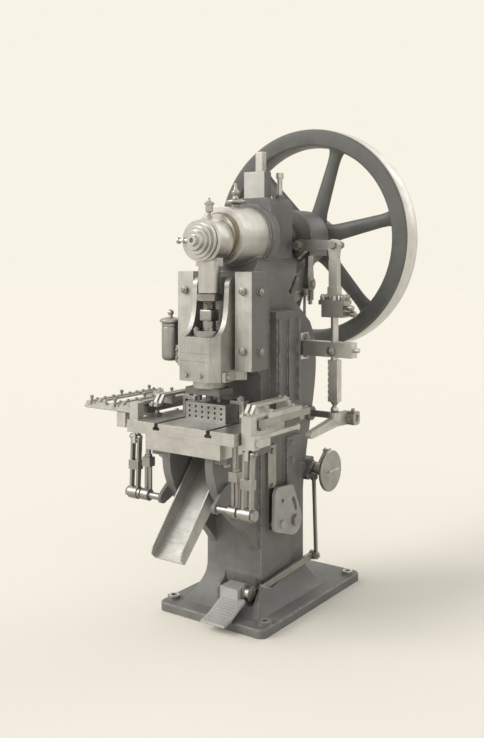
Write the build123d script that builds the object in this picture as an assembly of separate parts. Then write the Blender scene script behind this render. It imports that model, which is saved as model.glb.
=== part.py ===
from build123d import *
import os
from math import asin, atan2, cos, degrees, pi, radians, sin, sqrt

# Eccentric stamping press with a hand-loaded feed, in millimetres.
# +X is the machine's right, +Y runs back to the flywheel, +Z is up.
# The origin is the centre of the foundation bolts on the underside of the base.

# Clearances
flat_gap = 0.3
running_gap = 0.05
pin_slack = 1.0

# Base plate
base_width = 500
base_depth = 760
base_thickness = 34
base_corner_radius = 30
bolt_spacing_x = 436
bolt_spacing_y = 640
bolt_hole_radius = 11
bolt_boss_radius = 26
bolt_boss_height = 12

# Column
column_width = 260
column_front = -215
column_waist_back = 97
column_throat_back = 200
foot_toe_front = -335
foot_toe_back = 235
foot_flare_height = 170
waist_top = 430
throat_share = 0.69
back_slant_drop = 224
back_slant_y = -18
foot_toe_side = 212
foot_side_height = 185

# Table bracket
rib_inner = 83
rib_thickness = 36
bracket_nose = -510
bracket_top = 675

# Slab and pads on the right of the column
slab_front = -155
slab_back = 15
slab_rise = 214
slab_thickness = 34
rib_pitch = 72
pad_bottom = 361
pad_height = 312
pad_front = -46
pad_back = 54
pad_thickness = 14
side_plate_front = -182
side_plate_back = -126
side_plate_bottom = 330
side_plate_height = 330
quadrant_y = -36
quadrant_z = 344
quadrant_offset = 26
quadrant_thickness = 14

# Head
head_front = -248
head_height = 373
head_width = 330
gib_drop = 138

# Crank line
shaft_height = 1480
stroke = 40
journal_radius = 62
front_housing_radius = 115
front_housing_nose = -307
front_housing_back = -120
flange_radius = 132
flange_back = -80
bush_wall = 9
pillar_width = 170
pillar_front = -23
pillar_back = 85
pillar_rise = 160
top_box_width = 100
top_box_rise = 107
top_bar_width = 33
top_bar_height = 81
top_stud_x = 62
top_stud_y = 24
rear_block_front = 180
rear_block_back = 325
rear_block_width = 230
rear_block_drop = 77
rear_block_rise = 30
rear_barrel_radius = 122
rear_journal_radius = 52

# Strap and screw
strap_radius = 83
strap_neck_radius = 42
strap_front = -421
strap_back = -328
pin_radius = 52
screw_length = 395
screw_radius = 25
ball_radius = 38

# Flywheel
wheel_radius = 490
rim_depth = 73
rim_width = 108
wheel_front = 340
hub_radius = 92
hub_length = 150
arm_count = 6
arm_angle = 12
arm_width_hub = 74
arm_width_rim = 56
arm_thickness = 44

# Ram
ram_width = 174
ram_front = -447
ram_overhang = 39
ram_box_rise = 32
cheek_front = -366
cheek_drop = 158
cheek_thickness = 22
vee_depth = 30
gib_outer = 177
gib_front = -346

# Table and tools
table_top = 776
table_width = 475
table_plate = 45
table_front = -543
table_stem_width = 348
drop_hole_radius = 45
die_width = 190
die_front = -400
die_depth = 120
die_height = 68
punch_width = 160
punch_plate_depth = 26
punch_boss_radius = 62
punch_boss_depth = 26

# Chute
chute_width = 140
chute_sheet = 5
chute_low_y = -609
chute_high_y = -300
chute_drop = 62
chute_fall = 309
chute_wall_low = 33
chute_wall_high = 78

# Lubricator
pot_x = -228
pot_y = -330
pot_height = 153

# Feed drive
rod_x = 312
rod_y = 40
rod_half_x = 19
rod_half_y = 15
eye_drop = 34
rod_clamp_share = 0.61
rod_guide_share = 0.32
eye_pin_radius = 9
rocker_pivot_x = 128
rocker_front = 57
rocker_arm = 22
rocker_back = 149
guide_height = 60
guide_front = 18
guide_depth = 46
guide_reach = 400
neck_radius = 15
mark_count = 6
ball_rise = 45
ball_end_radius = 16
cup_gap = 0.9
lever_pivot_y = 140
lever_pivot_z = 745
lever_low_x = 300
t_slot_x = 122
lever_width = 24
rail_x = 265
rail_top = 815
rail_front = -450
rail_length = 355
rail_half_width = 15
rail_depth = 26
slide_gap = 0.5
left_bar_spacing = 128
left_bar_count = 2
finger_width = 14
finger_shifts = (30, 54)
finger_front = -452
finger_back = -176
finger_rise = 32
drop_reach = 34
drop_foot = 720
push_bar_end = -212
rock_pivot_y = -500
rock_pivot_z = 490
rock_top_y = -491
rock_top_z = 702
hanger_x = 205
hanger_y = -490
rock_fork_width = 42
rock_pin_radius = 9
slide_play = 5

# Treadle and clutch
treadle_y = -262
treadle_z = 105
treadle_shaft_radius = 16
pedal_width = 110
pedal_left = 8
pedal_front = -440
side_lever_x = 160
side_lever_end_y = 110
side_lever_end_z = 165
side_lever_width = 16
arm_hub_x = 104
arm_hub_width = 16
treadle_bearing_width = 12
disc_y = 150
disc_z = 513
disc_radius = 85
disc_pin_back = -58
disc_pin_drop = -20
latch_y = 130
latch_drop = 265
latch_reach = 96
latch_rise = 25.5
pull_side_x = 38


def block(x_low, x_high, y_low, y_high, z_low, z_high):
    middle = Pos((x_low + x_high) / 2, (y_low + y_high) / 2, (z_low + z_high) / 2)
    return middle * Box(x_high - x_low, y_high - y_low, z_high - z_low)


def round_x(radius, x_low, x_high, y, z):
    return Pos((x_low + x_high) / 2, y, z) * Rot(0, 90, 0) * Cylinder(radius, x_high - x_low)


def round_y(radius, y_low, y_high, x, z):
    return Pos(x, (y_low + y_high) / 2, z) * Rot(90, 0, 0) * Cylinder(radius, y_high - y_low)


def round_z(radius, z_low, z_high, x, y):
    return Pos(x, y, (z_low + z_high) / 2) * Cylinder(radius, z_high - z_low)


def side_plane(x):
    return Plane(origin=(x, 0, 0), x_dir=(0, 1, 0), z_dir=(1, 0, 0))


def front_plane(y):
    return Plane(origin=(0, y, 0), x_dir=(1, 0, 0), z_dir=(0, -1, 0))


def side_extrude(face, x_low, x_high):
    return extrude(side_plane(x_low) * face, amount=x_high - x_low)


def front_extrude(face, y_low, y_high):
    return extrude(front_plane(y_low) * face, amount=-(y_high - y_low))


def polygon(points):
    return make_face(Polyline(*points, close=True))


def hull_of_circles(circles):
    edges = []
    for u, v, radius in circles:
        edges += (Pos(u, v) * Circle(radius)).edges()
    return make_hull(edges)


def side_lever(circles, x_low, x_high):
    return side_extrude(hull_of_circles(circles), x_low, x_high)


def hexagon(direction, at, across, height):
    plane = Plane(origin=at, z_dir=direction)
    return extrude(plane * RegularPolygon(across / 2, 6, major_radius=False), amount=height)


def bolt(direction, at, thread, grip, head=None):
    # A hexagon head above its washer face, with the shank below it.
    across = head or thread * 1.7
    plane = Plane(origin=at, z_dir=direction)
    crown = extrude(plane * Circle(across * 0.42), amount=thread * 0.75)
    head = hexagon(direction, at, across, thread * 0.65) + crown
    if grip == 0:
        return head
    return head + extrude(plane * Circle(thread / 2), amount=-grip)


def bolt_hole(direction, at, thread, grip):
    plane = Plane(origin=at, z_dir=direction)
    return extrude(plane * Circle(thread / 2 + running_gap), amount=-(grip + 1))


def revolve_y(points, x=0, z=shaft_height):
    # Points are (y, radius) pairs, turned about a line along Y.
    outline = Plane(origin=(x, 0, z), x_dir=(0, 1, 0), z_dir=(1, 0, 0)) * polygon(points)
    return revolve(outline, Axis((x, 0, z), (0, 1, 0)), 360)


def revolve_z(points, x, y):
    # Points are (radius, z) pairs, turned about a line along Z.
    outline = Plane(origin=(x, y, 0), x_dir=(1, 0, 0), z_dir=(0, -1, 0)) * polygon(points)
    return revolve(outline, Axis((x, y, 0), (0, 0, 1)), 360)


def revolve_x(points, y, z):
    # Points are (x, radius) pairs, turned about a line along X.
    outline = Plane(origin=(0, y, z), x_dir=(1, 0, 0), z_dir=(0, -1, 0)) * polygon(points)
    return revolve(outline, Axis((0, y, z), (1, 0, 0)), 360)


# Derived places
half_column = column_width / 2
half_pillar = pillar_width / 2
gib_top = shaft_height - gib_drop
head_bottom = gib_top - head_height
ram_bottom = head_bottom - ram_overhang
cheek_top = shaft_height - cheek_drop
pillar_top = shaft_height + pillar_rise
top_box_top = pillar_top + top_box_rise
rear_block_bottom = shaft_height - rear_block_drop
rear_block_top = shaft_height + rear_block_rise
back_slant_top = shaft_height - back_slant_drop
throat_middle = waist_top + throat_share * (back_slant_top - waist_top)
eye_height = shaft_height - eye_drop
ball_height = lever_pivot_z + ball_rise
rod_clamp_z = ball_height + rod_clamp_share * (eye_height - ball_height)
guide_low = ball_height + rod_guide_share * (eye_height - ball_height)
guide_high = guide_low + guide_height
throw = stroke / 2
pin_height = shaft_height - throw
ball_center = pin_height - screw_length
ram_box_top = ball_center + ram_box_rise
ram_y = (strap_front + strap_back) / 2
table_back = column_front - flat_gap
stem_top = table_top - table_plate
bush_front_bore = journal_radius + running_gap
bush_rear_bore = rear_journal_radius + running_gap
treadle_bearing_x = (-18, 96)
latch_z = shaft_height - latch_drop
latch_pin_y = latch_y + latch_reach
latch_pin_z = latch_z + latch_rise



def bolt_places():
    for sx in (-1, 1):
        for sy in (-1, 1):
            yield sx * bolt_spacing_x / 2, sy * bolt_spacing_y / 2


def base_plate():
    plate = extrude(RectangleRounded(base_width, base_depth, base_corner_radius), base_thickness)
    plate = chamfer(plate.faces().sort_by(Axis.Z)[-1].edges(), 4)
    for x, y in bolt_places():
        plate += round_z(bolt_boss_radius, 0, base_thickness + bolt_boss_height, x, y)
    return plate


def column_outline():
    toe = base_thickness - 10
    throat_high = (throat_middle + back_slant_top) / 2
    throat_low = throat_middle - 0.4 * (throat_middle - waist_top)
    toe_front = Spline(
        (foot_toe_front, toe), (-262, 76), (column_front, foot_flare_height), tangents=[(1, 0.3), (0.15, 1)],
    )
    throat = Polyline(
        (column_front, foot_flare_height),
        (column_front, head_bottom - 35),
        (head_front, head_bottom),
        (head_front, gib_top),
        (front_housing_back - 20, shaft_height - 60),
        (front_housing_back - 20, shaft_height),
        (pillar_back, shaft_height),
        (pillar_back, rear_block_bottom - 30),
        (back_slant_y, back_slant_top),
        (column_throat_back - 47, throat_high),
    )
    back = Spline(
        (column_throat_back - 47, throat_high),
        (column_throat_back, throat_middle),
        (column_throat_back - 27, throat_low),
        (column_waist_back + 21, (throat_low + waist_top * 2) / 3 + 17),
        (column_waist_back, waist_top),
    )
    heel = Spline((column_waist_back, foot_flare_height - 20), (130, 88), (foot_toe_back, toe))
    return make_face([
        toe_front,
        throat,
        back,
        Line((column_waist_back, waist_top), (column_waist_back, foot_flare_height - 20)),
        heel,
        Line((foot_toe_back, toe), (foot_toe_front, toe)),
    ])


def front_outline():
    # Front view of the casting: a spreading foot, and shoulders drawn in to the crank line.
    shoulder = gib_top - 52
    toe = base_thickness - 10
    top = shaft_height + 10
    right = [
        Spline(
            (foot_toe_side, toe), (165, 52), (142, 100), (half_column, foot_side_height),
            tangents=[(-1, 0.25), (0, 1)],
        ),
        Line((half_column, foot_side_height), (half_column, shoulder)),
        ThreePointArc(
            (half_column, shoulder), (half_column - 10, shoulder + 55), (half_pillar, shoulder + 106),
        ),
        Line((half_pillar, shoulder + 106), (half_pillar, top)),
    ]
    left = [mirror(edge, about=Plane.YZ) for edge in right]
    return make_face(right + left + [
        Line((half_pillar, top), (-half_pillar, top)),
        Line((-foot_toe_side, toe), (foot_toe_side, toe)),
    ])


def column():
    # The side view and the front view meet in ridges at the corners of the foot.
    side_view = side_extrude(column_outline(), -foot_toe_side, foot_toe_side)
    front_view = front_extrude(front_outline(), foot_toe_front - 1, foot_toe_back + 1)
    pocket = block(-38, half_column, foot_toe_front, column_front - 3, treadle_z - 43, foot_flare_height + 8)
    return side_view & front_view - pocket


def bracket_rib(side):
    outline = make_face([
        Spline((column_front, 255), (-300, 350), (-423, 458), (-485, 545), (bracket_nose, 640)),
        Line((bracket_nose, 640), (bracket_nose, bracket_top)),
        Line((bracket_nose, bracket_top), (column_front + 20, bracket_top)),
        Line((column_front + 20, bracket_top), (column_front + 20, 255)),
        Line((column_front + 20, 255), (column_front, 255)),
    ])
    low = side * rib_inner if side > 0 else -(rib_inner + rib_thickness)
    return side_extrude(outline, low, low + rib_thickness)


def frame_casting():
    body = base_plate()
    body += column()
    for side in (-1, 1):
        body += bracket_rib(side)
    body += block(-head_width / 2, head_width / 2, head_front, column_front, head_bottom, gib_top)
    body += round_y(front_housing_radius, front_housing_nose, front_housing_back, 0, shaft_height)
    body += round_y(flange_radius, front_housing_back, flange_back, 0, shaft_height)
    pillar = front_extrude(
        Pos(0, (back_slant_top + pillar_top) / 2)
        * RectangleRounded(pillar_width, pillar_top - back_slant_top, 34),
        flange_back, pillar_back,
    )
    body += pillar
    half_box = top_box_width / 2
    body += block(-half_box, half_box, -73, pillar_front, pillar_top - 60, top_box_top)
    body += round_z(17, pillar_top - 40, pillar_top + 14, top_stud_x, top_stud_y)
    web = side_extrude(polygon([
        (-120, back_slant_top), (back_slant_y, back_slant_top), (60, rear_block_bottom - 85),
        (160, rear_block_bottom - 77), (290, rear_block_bottom), (290, rear_block_bottom + 31),
        (-120, rear_block_bottom + 31),
    ]), -60, 60)
    body += web
    body += block(
        -rear_block_width / 2, rear_block_width / 2,
        rear_block_front, rear_block_back, rear_block_bottom, rear_block_top,
    )
    body += round_y(rear_barrel_radius, rear_block_front, rear_block_back, 0, shaft_height)
    # Side slab that carries the feed guide, with its two stiffening ribs
    slab_low = table_top + 24
    slab_high = head_bottom + slab_rise
    body += block(half_column - 5, half_column + slab_thickness, slab_front, slab_back, slab_low, slab_high)
    for index in range(3):
        y = slab_front + 12 + index * rib_pitch
        face = half_column + slab_thickness + 10
        body += block(half_column, face, y - 7, y + 7, slab_low + 20, slab_high - 33)
    # Bosses for the clutch shaft, feed lever pivot, rocker stud and treadle bearing
    body += round_x(34, half_column - 40, half_column + 12, column_waist_back - 20, disc_z)
    inner = half_column - 40
    body += block(inner, half_column, column_waist_back - 30, disc_y + 34, disc_z - 40, disc_z + 40)
    body += round_x(34, half_column - 40, half_column + 12, disc_y, disc_z)
    body += round_x(30, half_column - 10, half_column + 20, lever_pivot_y, lever_pivot_z)
    body += round_y(26, 150, rear_block_front + 40, rocker_pivot_x, eye_height)
    body -= round_y(11, 149, rear_block_front + 30, rocker_pivot_x, eye_height)
    body -= round_x(14, half_column - 30, half_column + 30, lever_pivot_y, lever_pivot_z)
    body -= round_x(15, half_column - 60, half_column + 20, disc_y, disc_z)
    housing_top = shaft_height + front_housing_radius
    body += round_z(18, housing_top - 30, housing_top + 2, 0, -203)
    pad_face = half_column + pad_thickness
    body += block(half_column, pad_face, pad_front, pad_back, pad_bottom, pad_bottom + pad_height)
    for share in (0.09, 0.35, 0.69, 0.91):
        place = (pad_face, pad_front + 28, pad_bottom + share * pad_height)
        body += hexagon((1, 0, 0), place, 22, 9)
    for side in (-1, 1):
        outer = side * (rib_inner + rib_thickness)
        body += side_extrude(
            hull_of_circles([(rock_pivot_y + 70, rock_pivot_z + 40, 34), (rock_pivot_y, rock_pivot_z, 21)]),
            min(outer, outer + side * 14), max(outer, outer + side * 14),
        )
        flange_low = min(side * rib_inner, side * table_stem_width / 2)
        flange_high = max(side * rib_inner, side * table_stem_width / 2)
        body += block(flange_low, flange_high, bracket_nose + 6, column_front, bracket_top - 24, bracket_top)
    for x in treadle_bearing_x:
        body += treadle_bearing(x)
    body += side_lever([
        (latch_y - 34, latch_z - 55, 22), (latch_y, latch_z, 18),
    ], pull_side_x - 20, pull_side_x - 1)
    body -= round_x(10, pull_side_x - 30, pull_side_x, latch_y, latch_z)
    for place in table_bolt_places():
        body -= bolt_hole((0, 0, -1), place, 16, 44)
    for x, y in bolt_places():
        boss_top = base_thickness + bolt_boss_height
        body -= round_z(bolt_boss_radius + 2, boss_top, boss_top + 60, x, y)
        body -= round_z(bolt_hole_radius, -1, boss_top + 1, x, y)
    body -= treadle_channel()
    # Room for the cam in the web below the shaft
    body -= round_y(92, pillar_back + 16, rear_block_front - 20, 0, shaft_height)
    # Bores along the crank line
    body -= round_y(journal_radius + bush_wall, front_housing_nose - 1, flange_back + 40, 0, shaft_height)
    body -= round_y(rear_journal_radius + 8, flange_back, pillar_back + 200, 0, shaft_height)
    body -= round_y(
        rear_journal_radius + bush_wall, rear_block_front - 1, rear_block_back + 1, 0, shaft_height,
    )
    return body


def table_bolt_places():
    for side in (-1, 1):
        for y in (-470, -300):
            yield (side * (rib_inner + rib_thickness + 30), y, bracket_top - 24)


def bushes():
    return Compound(children=[front_bush(), rear_bush()])


def front_bush():
    return revolve_y([
        (front_housing_nose - 8, bush_front_bore), (front_housing_nose - 8, journal_radius + 30),
        (front_housing_nose - flat_gap, journal_radius + 30),
        (front_housing_nose - flat_gap, journal_radius + bush_wall - running_gap),
        (flange_back + 30, journal_radius + bush_wall - running_gap), (flange_back + 30, bush_front_bore),
    ])


def rear_bush():
    return revolve_y([
        (rear_block_front, bush_rear_bore), (rear_block_front, rear_journal_radius + bush_wall - running_gap),
        (rear_block_back, rear_journal_radius + bush_wall - running_gap),
        (rear_block_back, rear_journal_radius + 24), (rear_block_back + 8, rear_journal_radius + 24),
        (rear_block_back + 8, bush_rear_bore),
    ])


def crankshaft():
    tail = wheel_front + hub_length + 26
    return revolve_y([
        (strap_back + flat_gap, 0), (strap_back + flat_gap, 84), (front_housing_nose - 8 - flat_gap, 84),
        (front_housing_nose - 8 - flat_gap, journal_radius), (flange_back + 32, journal_radius),
        (flange_back + 32, rear_journal_radius), (wheel_front - 2, rear_journal_radius),
        (wheel_front - 2, rear_journal_radius - 6), (tail, rear_journal_radius - 6), (tail, 0),
    ])


def feed_cam():
    # The cam between the pillar and the rear bearing lifts the feed rocker.
    outline = hull_of_circles([(0, shaft_height, 74), (0, shaft_height - 22, 62)])
    cam = front_extrude(outline, pillar_back + 22, pillar_back + 52)
    collar = round_y(70, pillar_back + 52, pillar_back + 72, 0, shaft_height)
    return cam + collar - round_y(rear_journal_radius, 0, 300, 0, shaft_height)


def cross_plane(x):
    return Plane(origin=(x, 0, 0), x_dir=(0, 1, 0), z_dir=(1, 0, 0))


def flywheel():
    rim_inner = wheel_radius - rim_depth
    rim_back = wheel_front + rim_width
    middle = wheel_front + rim_width / 2
    hub_front = wheel_front + 2
    wheel = revolve_y([
        (wheel_front, rim_inner), (wheel_front, wheel_radius - 5), (wheel_front + 5, wheel_radius),
        (rim_back - 5, wheel_radius), (rim_back, wheel_radius - 5), (rim_back, rim_inner),
        (middle, rim_inner - 9),
    ])
    wheel += revolve_y([
        (hub_front, 0), (hub_front, hub_radius - 6), (hub_front + 6, hub_radius),
        (hub_front + hub_length - 6, hub_radius), (hub_front + hub_length, hub_radius - 6),
        (hub_front + hub_length, 0),
    ])
    arm_start = hub_radius - 22
    arm_end = rim_inner + 4
    for index in range(arm_count):
        turn = arm_angle + index * 360 / arm_count
        spoke = loft([
            cross_plane(arm_start) * Ellipse(arm_thickness / 2, arm_width_hub / 2),
            cross_plane(arm_end) * Ellipse(arm_thickness / 2 - 4, arm_width_rim / 2),
        ])
        wheel += Pos(0, middle, shaft_height) * Rot(0, -turn, 0) * spoke
    return wheel - round_y(rear_journal_radius - 6 + running_gap, 0, 700, 0, shaft_height)


def tail_collar():
    start = wheel_front + 2 + hub_length + flat_gap
    ring = round_y(70, start, start + 16, 0, shaft_height)
    return ring - round_y(rear_journal_radius - 6, 0, 700, 0, shaft_height)


def crank_pin():
    return round_y(pin_radius, strap_front - 2, strap_back - flat_gap, 0, pin_height)


def strap():
    ring = revolve_y([
        (strap_front, pin_radius), (strap_front, strap_radius - 8), (strap_front + 8, strap_radius),
        (strap_back - 4, strap_radius), (strap_back - flat_gap, strap_radius - 4),
        (strap_back - flat_gap, pin_radius),
    ], 0, pin_height)
    neck = round_z(strap_neck_radius, ball_center + 197, pin_height - strap_radius + 22, 0, ram_y)
    ears = block(-52, 52, ram_y - 17, ram_y + 17, pin_height - strap_radius - 14, pin_height - 50)
    body = ring + neck + ears
    body -= round_y(pin_radius, strap_front - 5, strap_back + 5, 0, pin_height)
    body += round_z(12, pin_height + strap_radius - 12, pin_height + strap_radius + 3, 0, ram_y)
    return body - round_z(screw_radius, ball_center, pin_height - strap_radius - 6, 0, ram_y)


def nose_rings():
    # Stepped rings that set the throw, with a socket and a cross stub on the end.
    front = strap_front - 2
    rings = revolve_y([
        (front, 0), (front, 74), (front - 10, 78), (front - 18, 78), (front - 18, 66), (front - 28, 66),
        (front - 28, 54), (front - 38, 52), (front - 38, 40), (front - 50, 36), (front - 50, 22),
        (front - 62, 20), (front - 62, 9), (front - 46, 9), (front - 46, 0),
    ], 0, pin_height)
    stub_y = strap_front - 56
    rings += round_x(8, -64, -18, stub_y, pin_height)
    return rings + round_x(12, -70, -62, stub_y, pin_height) + round_x(12, -42, -36, stub_y, pin_height)


def ball_screw():
    shank = round_z(screw_radius, ball_center, pin_height - strap_radius - 6, 0, ram_y)
    square = Pos(0, ram_y, ball_center + 90) * extrude(RectangleRounded(54, 54, 6), 44)
    ball = Pos(0, ram_y, ball_center) * Sphere(ball_radius)
    return ball + shank + square


def screw_nut():
    low = ball_center + 167
    nut = hexagon((0, 0, 1), (0, ram_y, low), 84, 28)
    return nut - round_z(screw_radius, low - 1, low + 40, 0, ram_y)


def oiler(x, y, base, size):
    return revolve_z([
        (0, base), (0.42 * size, base), (0.42 * size, base + 0.35 * size), (0.26 * size, base + 0.45 * size),
        (0.26 * size, base + 0.9 * size), (0.62 * size, base + 1.05 * size), (0.62 * size, base + 2.1 * size),
        (0.8 * size, base + 2.15 * size), (0.8 * size, base + 2.45 * size), (0.3 * size, base + 2.75 * size),
        (0.2 * size, base + 2.95 * size), (0.2 * size, base + 3.2 * size), (0, base + 3.3 * size),
    ], x, y)


def housing_oiler():
    base = shaft_height + front_housing_radius + 2
    return revolve_z([
        (0, base), (16, base), (16, base + 10), (40, base + 16), (40, base + 24), (14, base + 30),
        (11, base + 44), (17, base + 52), (17, base + 62), (9, base + 70), (6, base + 92), (0, base + 96),
    ], 0, -203)


def ram_section():
    half = ram_width / 2
    back = head_front - flat_gap
    vee_middle = (gib_front + back) / 2 + 6
    return make_face(Polyline(
        (-half, ram_front), (half - 34, ram_front), (half, ram_front + 28), (half, vee_middle - vee_depth),
        (half + vee_depth, vee_middle), (half, vee_middle + vee_depth), (half, back),
        (-half, back), (-half, vee_middle + vee_depth), (-half - vee_depth, vee_middle),
        (-half, vee_middle - vee_depth), close=True,
    ))


def ram():
    blank = extrude(Plane.XY.offset(ram_bottom) * ram_section(), cheek_top - ram_bottom)
    half = ram_width / 2
    relief = make_face([
        Line((ram_front - 5, ram_box_top), (ram_front, ram_box_top)),
        Spline(
            (ram_front, ram_box_top), (cheek_front - 36, ram_box_top + 25),
            (cheek_front - 8, ram_box_top + 98), (cheek_front, cheek_top - 42),
        ),
        Spline(
            (cheek_front, cheek_top - 42), (cheek_front + 6, cheek_top - 14),
            (cheek_front + 30, cheek_top + 2),
        ),
        Line((cheek_front + 30, cheek_top + 2), (ram_front - 5, cheek_top + 2)),
        Line((ram_front - 5, cheek_top + 2), (ram_front - 5, ram_box_top)),
    ])
    body = blank - side_extrude(relief, -half - 50, half + 50)
    inner = half - cheek_thickness
    pocket_back = ram_y + 62
    body -= block(-inner, inner, ram_front - 5, pocket_back, ram_box_top, cheek_top + 5)
    body -= Pos(0, ram_y, ball_center) * Sphere(ball_radius + running_gap)
    body -= round_z(ball_radius + running_gap, ball_center, ram_box_top + 5, 0, ram_y)
    for z in (ram_box_top - 94, ram_box_top - 64):
        body -= block(-half - 2, half - 34, ram_front - 2, ram_front + 2.5, z, z + 3)
    body += round_z(punch_boss_radius, ram_bottom - punch_boss_depth, ram_bottom, 0, ram_y)
    # Clamp lug for the punch shank, with its two screws in the front
    body += block(half - 34, half + 18, ram_y - 40, ram_y - 4, ram_bottom + 2, ram_bottom + 38)
    body += hexagon((1, 0, 0), (half + 18, ram_y - 22, ram_bottom + 20), 22, 12)
    for x in (-55, 12):
        body += hexagon((0, -1, 0), (x, ram_front, ram_bottom + 24), 18, 9)
    return body


def ball_cap():
    # The clamp ring that holds the ball down, under its four nuts.
    low = ram_box_top + flat_gap
    ring = round_z(60, low, low + 22, 0, ram_y) - round_z(screw_radius + 12, low - 1, low + 30, 0, ram_y)
    return ring


def ball_cap_nuts():
    low = ram_box_top + 22 + flat_gap
    nuts = []
    for turn in (45, 135, 225, 315):
        x = 49 * cos(radians(turn))
        y = ram_y + 49 * sin(radians(turn))
        nuts.append(hexagon((0, 0, 1), (x, y, low), 19, 12) + round_z(6, low, low + 19, x, y))
    return Compound(children=nuts)


def gib(side):
    half = ram_width / 2 + flat_gap
    back = head_front - flat_gap
    vee_middle = (gib_front + head_front - flat_gap) / 2 + 6
    points = [
        (gib_outer, gib_front), (100, gib_front), (100, gib_front + 8),
        (half, vee_middle - vee_depth + 0), (half + vee_depth, vee_middle), (half, vee_middle + vee_depth),
        (half, back), (gib_outer, back),
    ]
    outline = polygon([(side * x, y) for x, y in points])
    body = extrude(Plane.XY.offset(head_bottom) * outline, gib_top - head_bottom)
    for direction, place, grip in gib_bolt_places(side):
        body -= bolt_hole(direction, place, 16, grip)
    return body


def gib_bolt_places(side):
    for z in (head_bottom + 75, gib_top - 73):
        yield (0, -1, 0), (side * 139, gib_front, z), 60
        yield (side, 0, 0), (side * gib_outer, -296, z - 4), 20


def frame_bolts():
    heads = []
    for side in (-1, 1):
        for direction, place, grip in gib_bolt_places(side):
            heads.append(bolt(direction, place, 16, grip))
    for y, z in guide_bolt_places():
        heads.append(bolt((1, 0, 0), (half_column + 18, y, z), 15, 0))
    heads.append(bolt((0, -1, 0), (rod_x, guide_front, guide_low + 26), 18, 0, 34))
    return Compound(children=heads)


def table():
    half = table_width / 2
    top = block(-half, half, table_front, table_back, stem_top, table_top)
    half_stem = table_stem_width / 2
    stem = block(-half_stem, half_stem, table_front + 3, table_back, bracket_top, stem_top)
    body = top + stem
    for x in (-t_slot_x, t_slot_x):
        groove = block(x - 9, x + 9, table_front - 1, table_back + 1, table_top - 26, table_top + 1)
        foot = block(x - 16, x + 16, table_front - 1, table_back + 1, table_top - 26, table_top - 14)
        body -= groove + foot
    for place in table_bolt_places():
        body -= bolt_hole((0, 0, -1), place, 16, 44)
    return body - round_z(drop_hole_radius, bracket_top - 1, table_top + 1, 0, die_front + die_depth / 2)


def table_bolts():
    heads = [bolt((0, 0, -1), place, 16, 44) for place in table_bolt_places()]
    for side in (-1, 1):
        for y in rail_seat_places():
            heads.append(bolt((0, 0, 1), (side * (table_width / 2 - 16), y, rail_top - rail_depth), 11, 0))
    for index in range(1, left_bar_count + 1):
        x = -(rail_x + index * left_bar_spacing)
        for y in (rail_front - 26, rail_front + 150, rail_front + rail_length - 30):
            heads.append(bolt((0, 0, 1), (x, y, rail_top + 4), 9, 0))
    return Compound(children=heads)


def die_block():
    half = die_width / 2
    back = die_front + die_depth
    body = block(-half, half, die_front, back, table_top, table_top + die_height)
    body -= round_z(32, table_top - 1, table_top + die_height + 1, 0, (die_front + back) / 2)
    for ix in range(6):
        for iz in range(3):
            x = -half + 20 + ix * (die_width - 40) / 5
            z = table_top + 15 + iz * 19
            body -= round_y(4.5, die_front - 1, die_front + 16, x, z)
    return body


def die_clamps():
    clamps = []
    y = die_front + die_depth / 2
    top = table_top + die_height
    for side in (-1, 1):
        x = side * t_slot_x
        reach = side * (die_width / 2 - 12)
        heel = side * (t_slot_x + 24)
        plate = block(min(reach, heel), max(reach, heel), y - 16, y + 16, top, top + 14)
        foot = block(min(heel, heel - side * 12), max(heel, heel - side * 12), y - 14, y + 14, table_top, top)
        post = round_z(8, table_top - 20, top + 32, x, y)
        nut = hexagon((0, 0, 1), (x, y, top + 14), 26, 13)
        clamps.append(plate + foot + post + nut)
    return Compound(children=clamps)


def punch_plate():
    high = ram_bottom - punch_boss_depth
    return block(-punch_width / 2, punch_width / 2, ram_y - 45, ram_y + 45, high - punch_plate_depth, high)


def punches():
    items = []
    low = table_top + die_height + 6
    high = ram_bottom - punch_boss_depth - punch_plate_depth
    for x, radius in ((-48, 9), (0, 13), (48, 9)):
        items.append(round_z(radius, low, high, x, ram_y))
    return Compound(children=items)


def chute():
    y0, y1 = chute_low_y, chute_high_y
    z1 = bracket_top - chute_drop
    z0 = z1 - chute_fall
    length = sqrt((y1 - y0) ** 2 + (z1 - z0) ** 2)
    angle = degrees(atan2(z1 - z0, y1 - y0))
    half = chute_width / 2
    wall = polygon([
        (0, 0), (length, 0), (length, chute_wall_high), (24, chute_wall_low + 12), (0, chute_wall_low),
    ])
    place = Pos(0, y0, z0) * Rot(angle, 0, 0)
    floor = place * block(-half, half, 0, length, 0, chute_sheet)
    sides = []
    for low in (-half, half - chute_sheet):
        sides.append(place * side_extrude(wall, low, low + chute_sheet))
    body = floor + sides[0] + sides[1]
    for side in (-1, 1):
        inner = side * (half - 1)
        outer = side * (rib_inner - flat_gap)
        lug = block(min(inner, outer), max(inner, outer), y1 - 66, y1 - 36, z1 - 36, z1 - 8)
        body += lug
    return body


def lubricator_pot():
    low = head_bottom + 16
    high = low + pot_height
    pot = revolve_z([(0, low), (30, low), (36, low + 7), (36, high), (0, high)], pot_x, pot_y)
    return pot + block(pot_x + 22, -gib_outer, pot_y - 15, pot_y + 18, low + 25, low + 65)


def lubricator_cap():
    low = head_bottom + 16 + pot_height
    return revolve_z([
        (0, low), (44, low), (44, low + 10), (34, low + 16), (8, low + 20), (8, low + 30),
        (13, low + 38), (8, low + 50), (0, low + 52),
    ], pot_x, pot_y)


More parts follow.
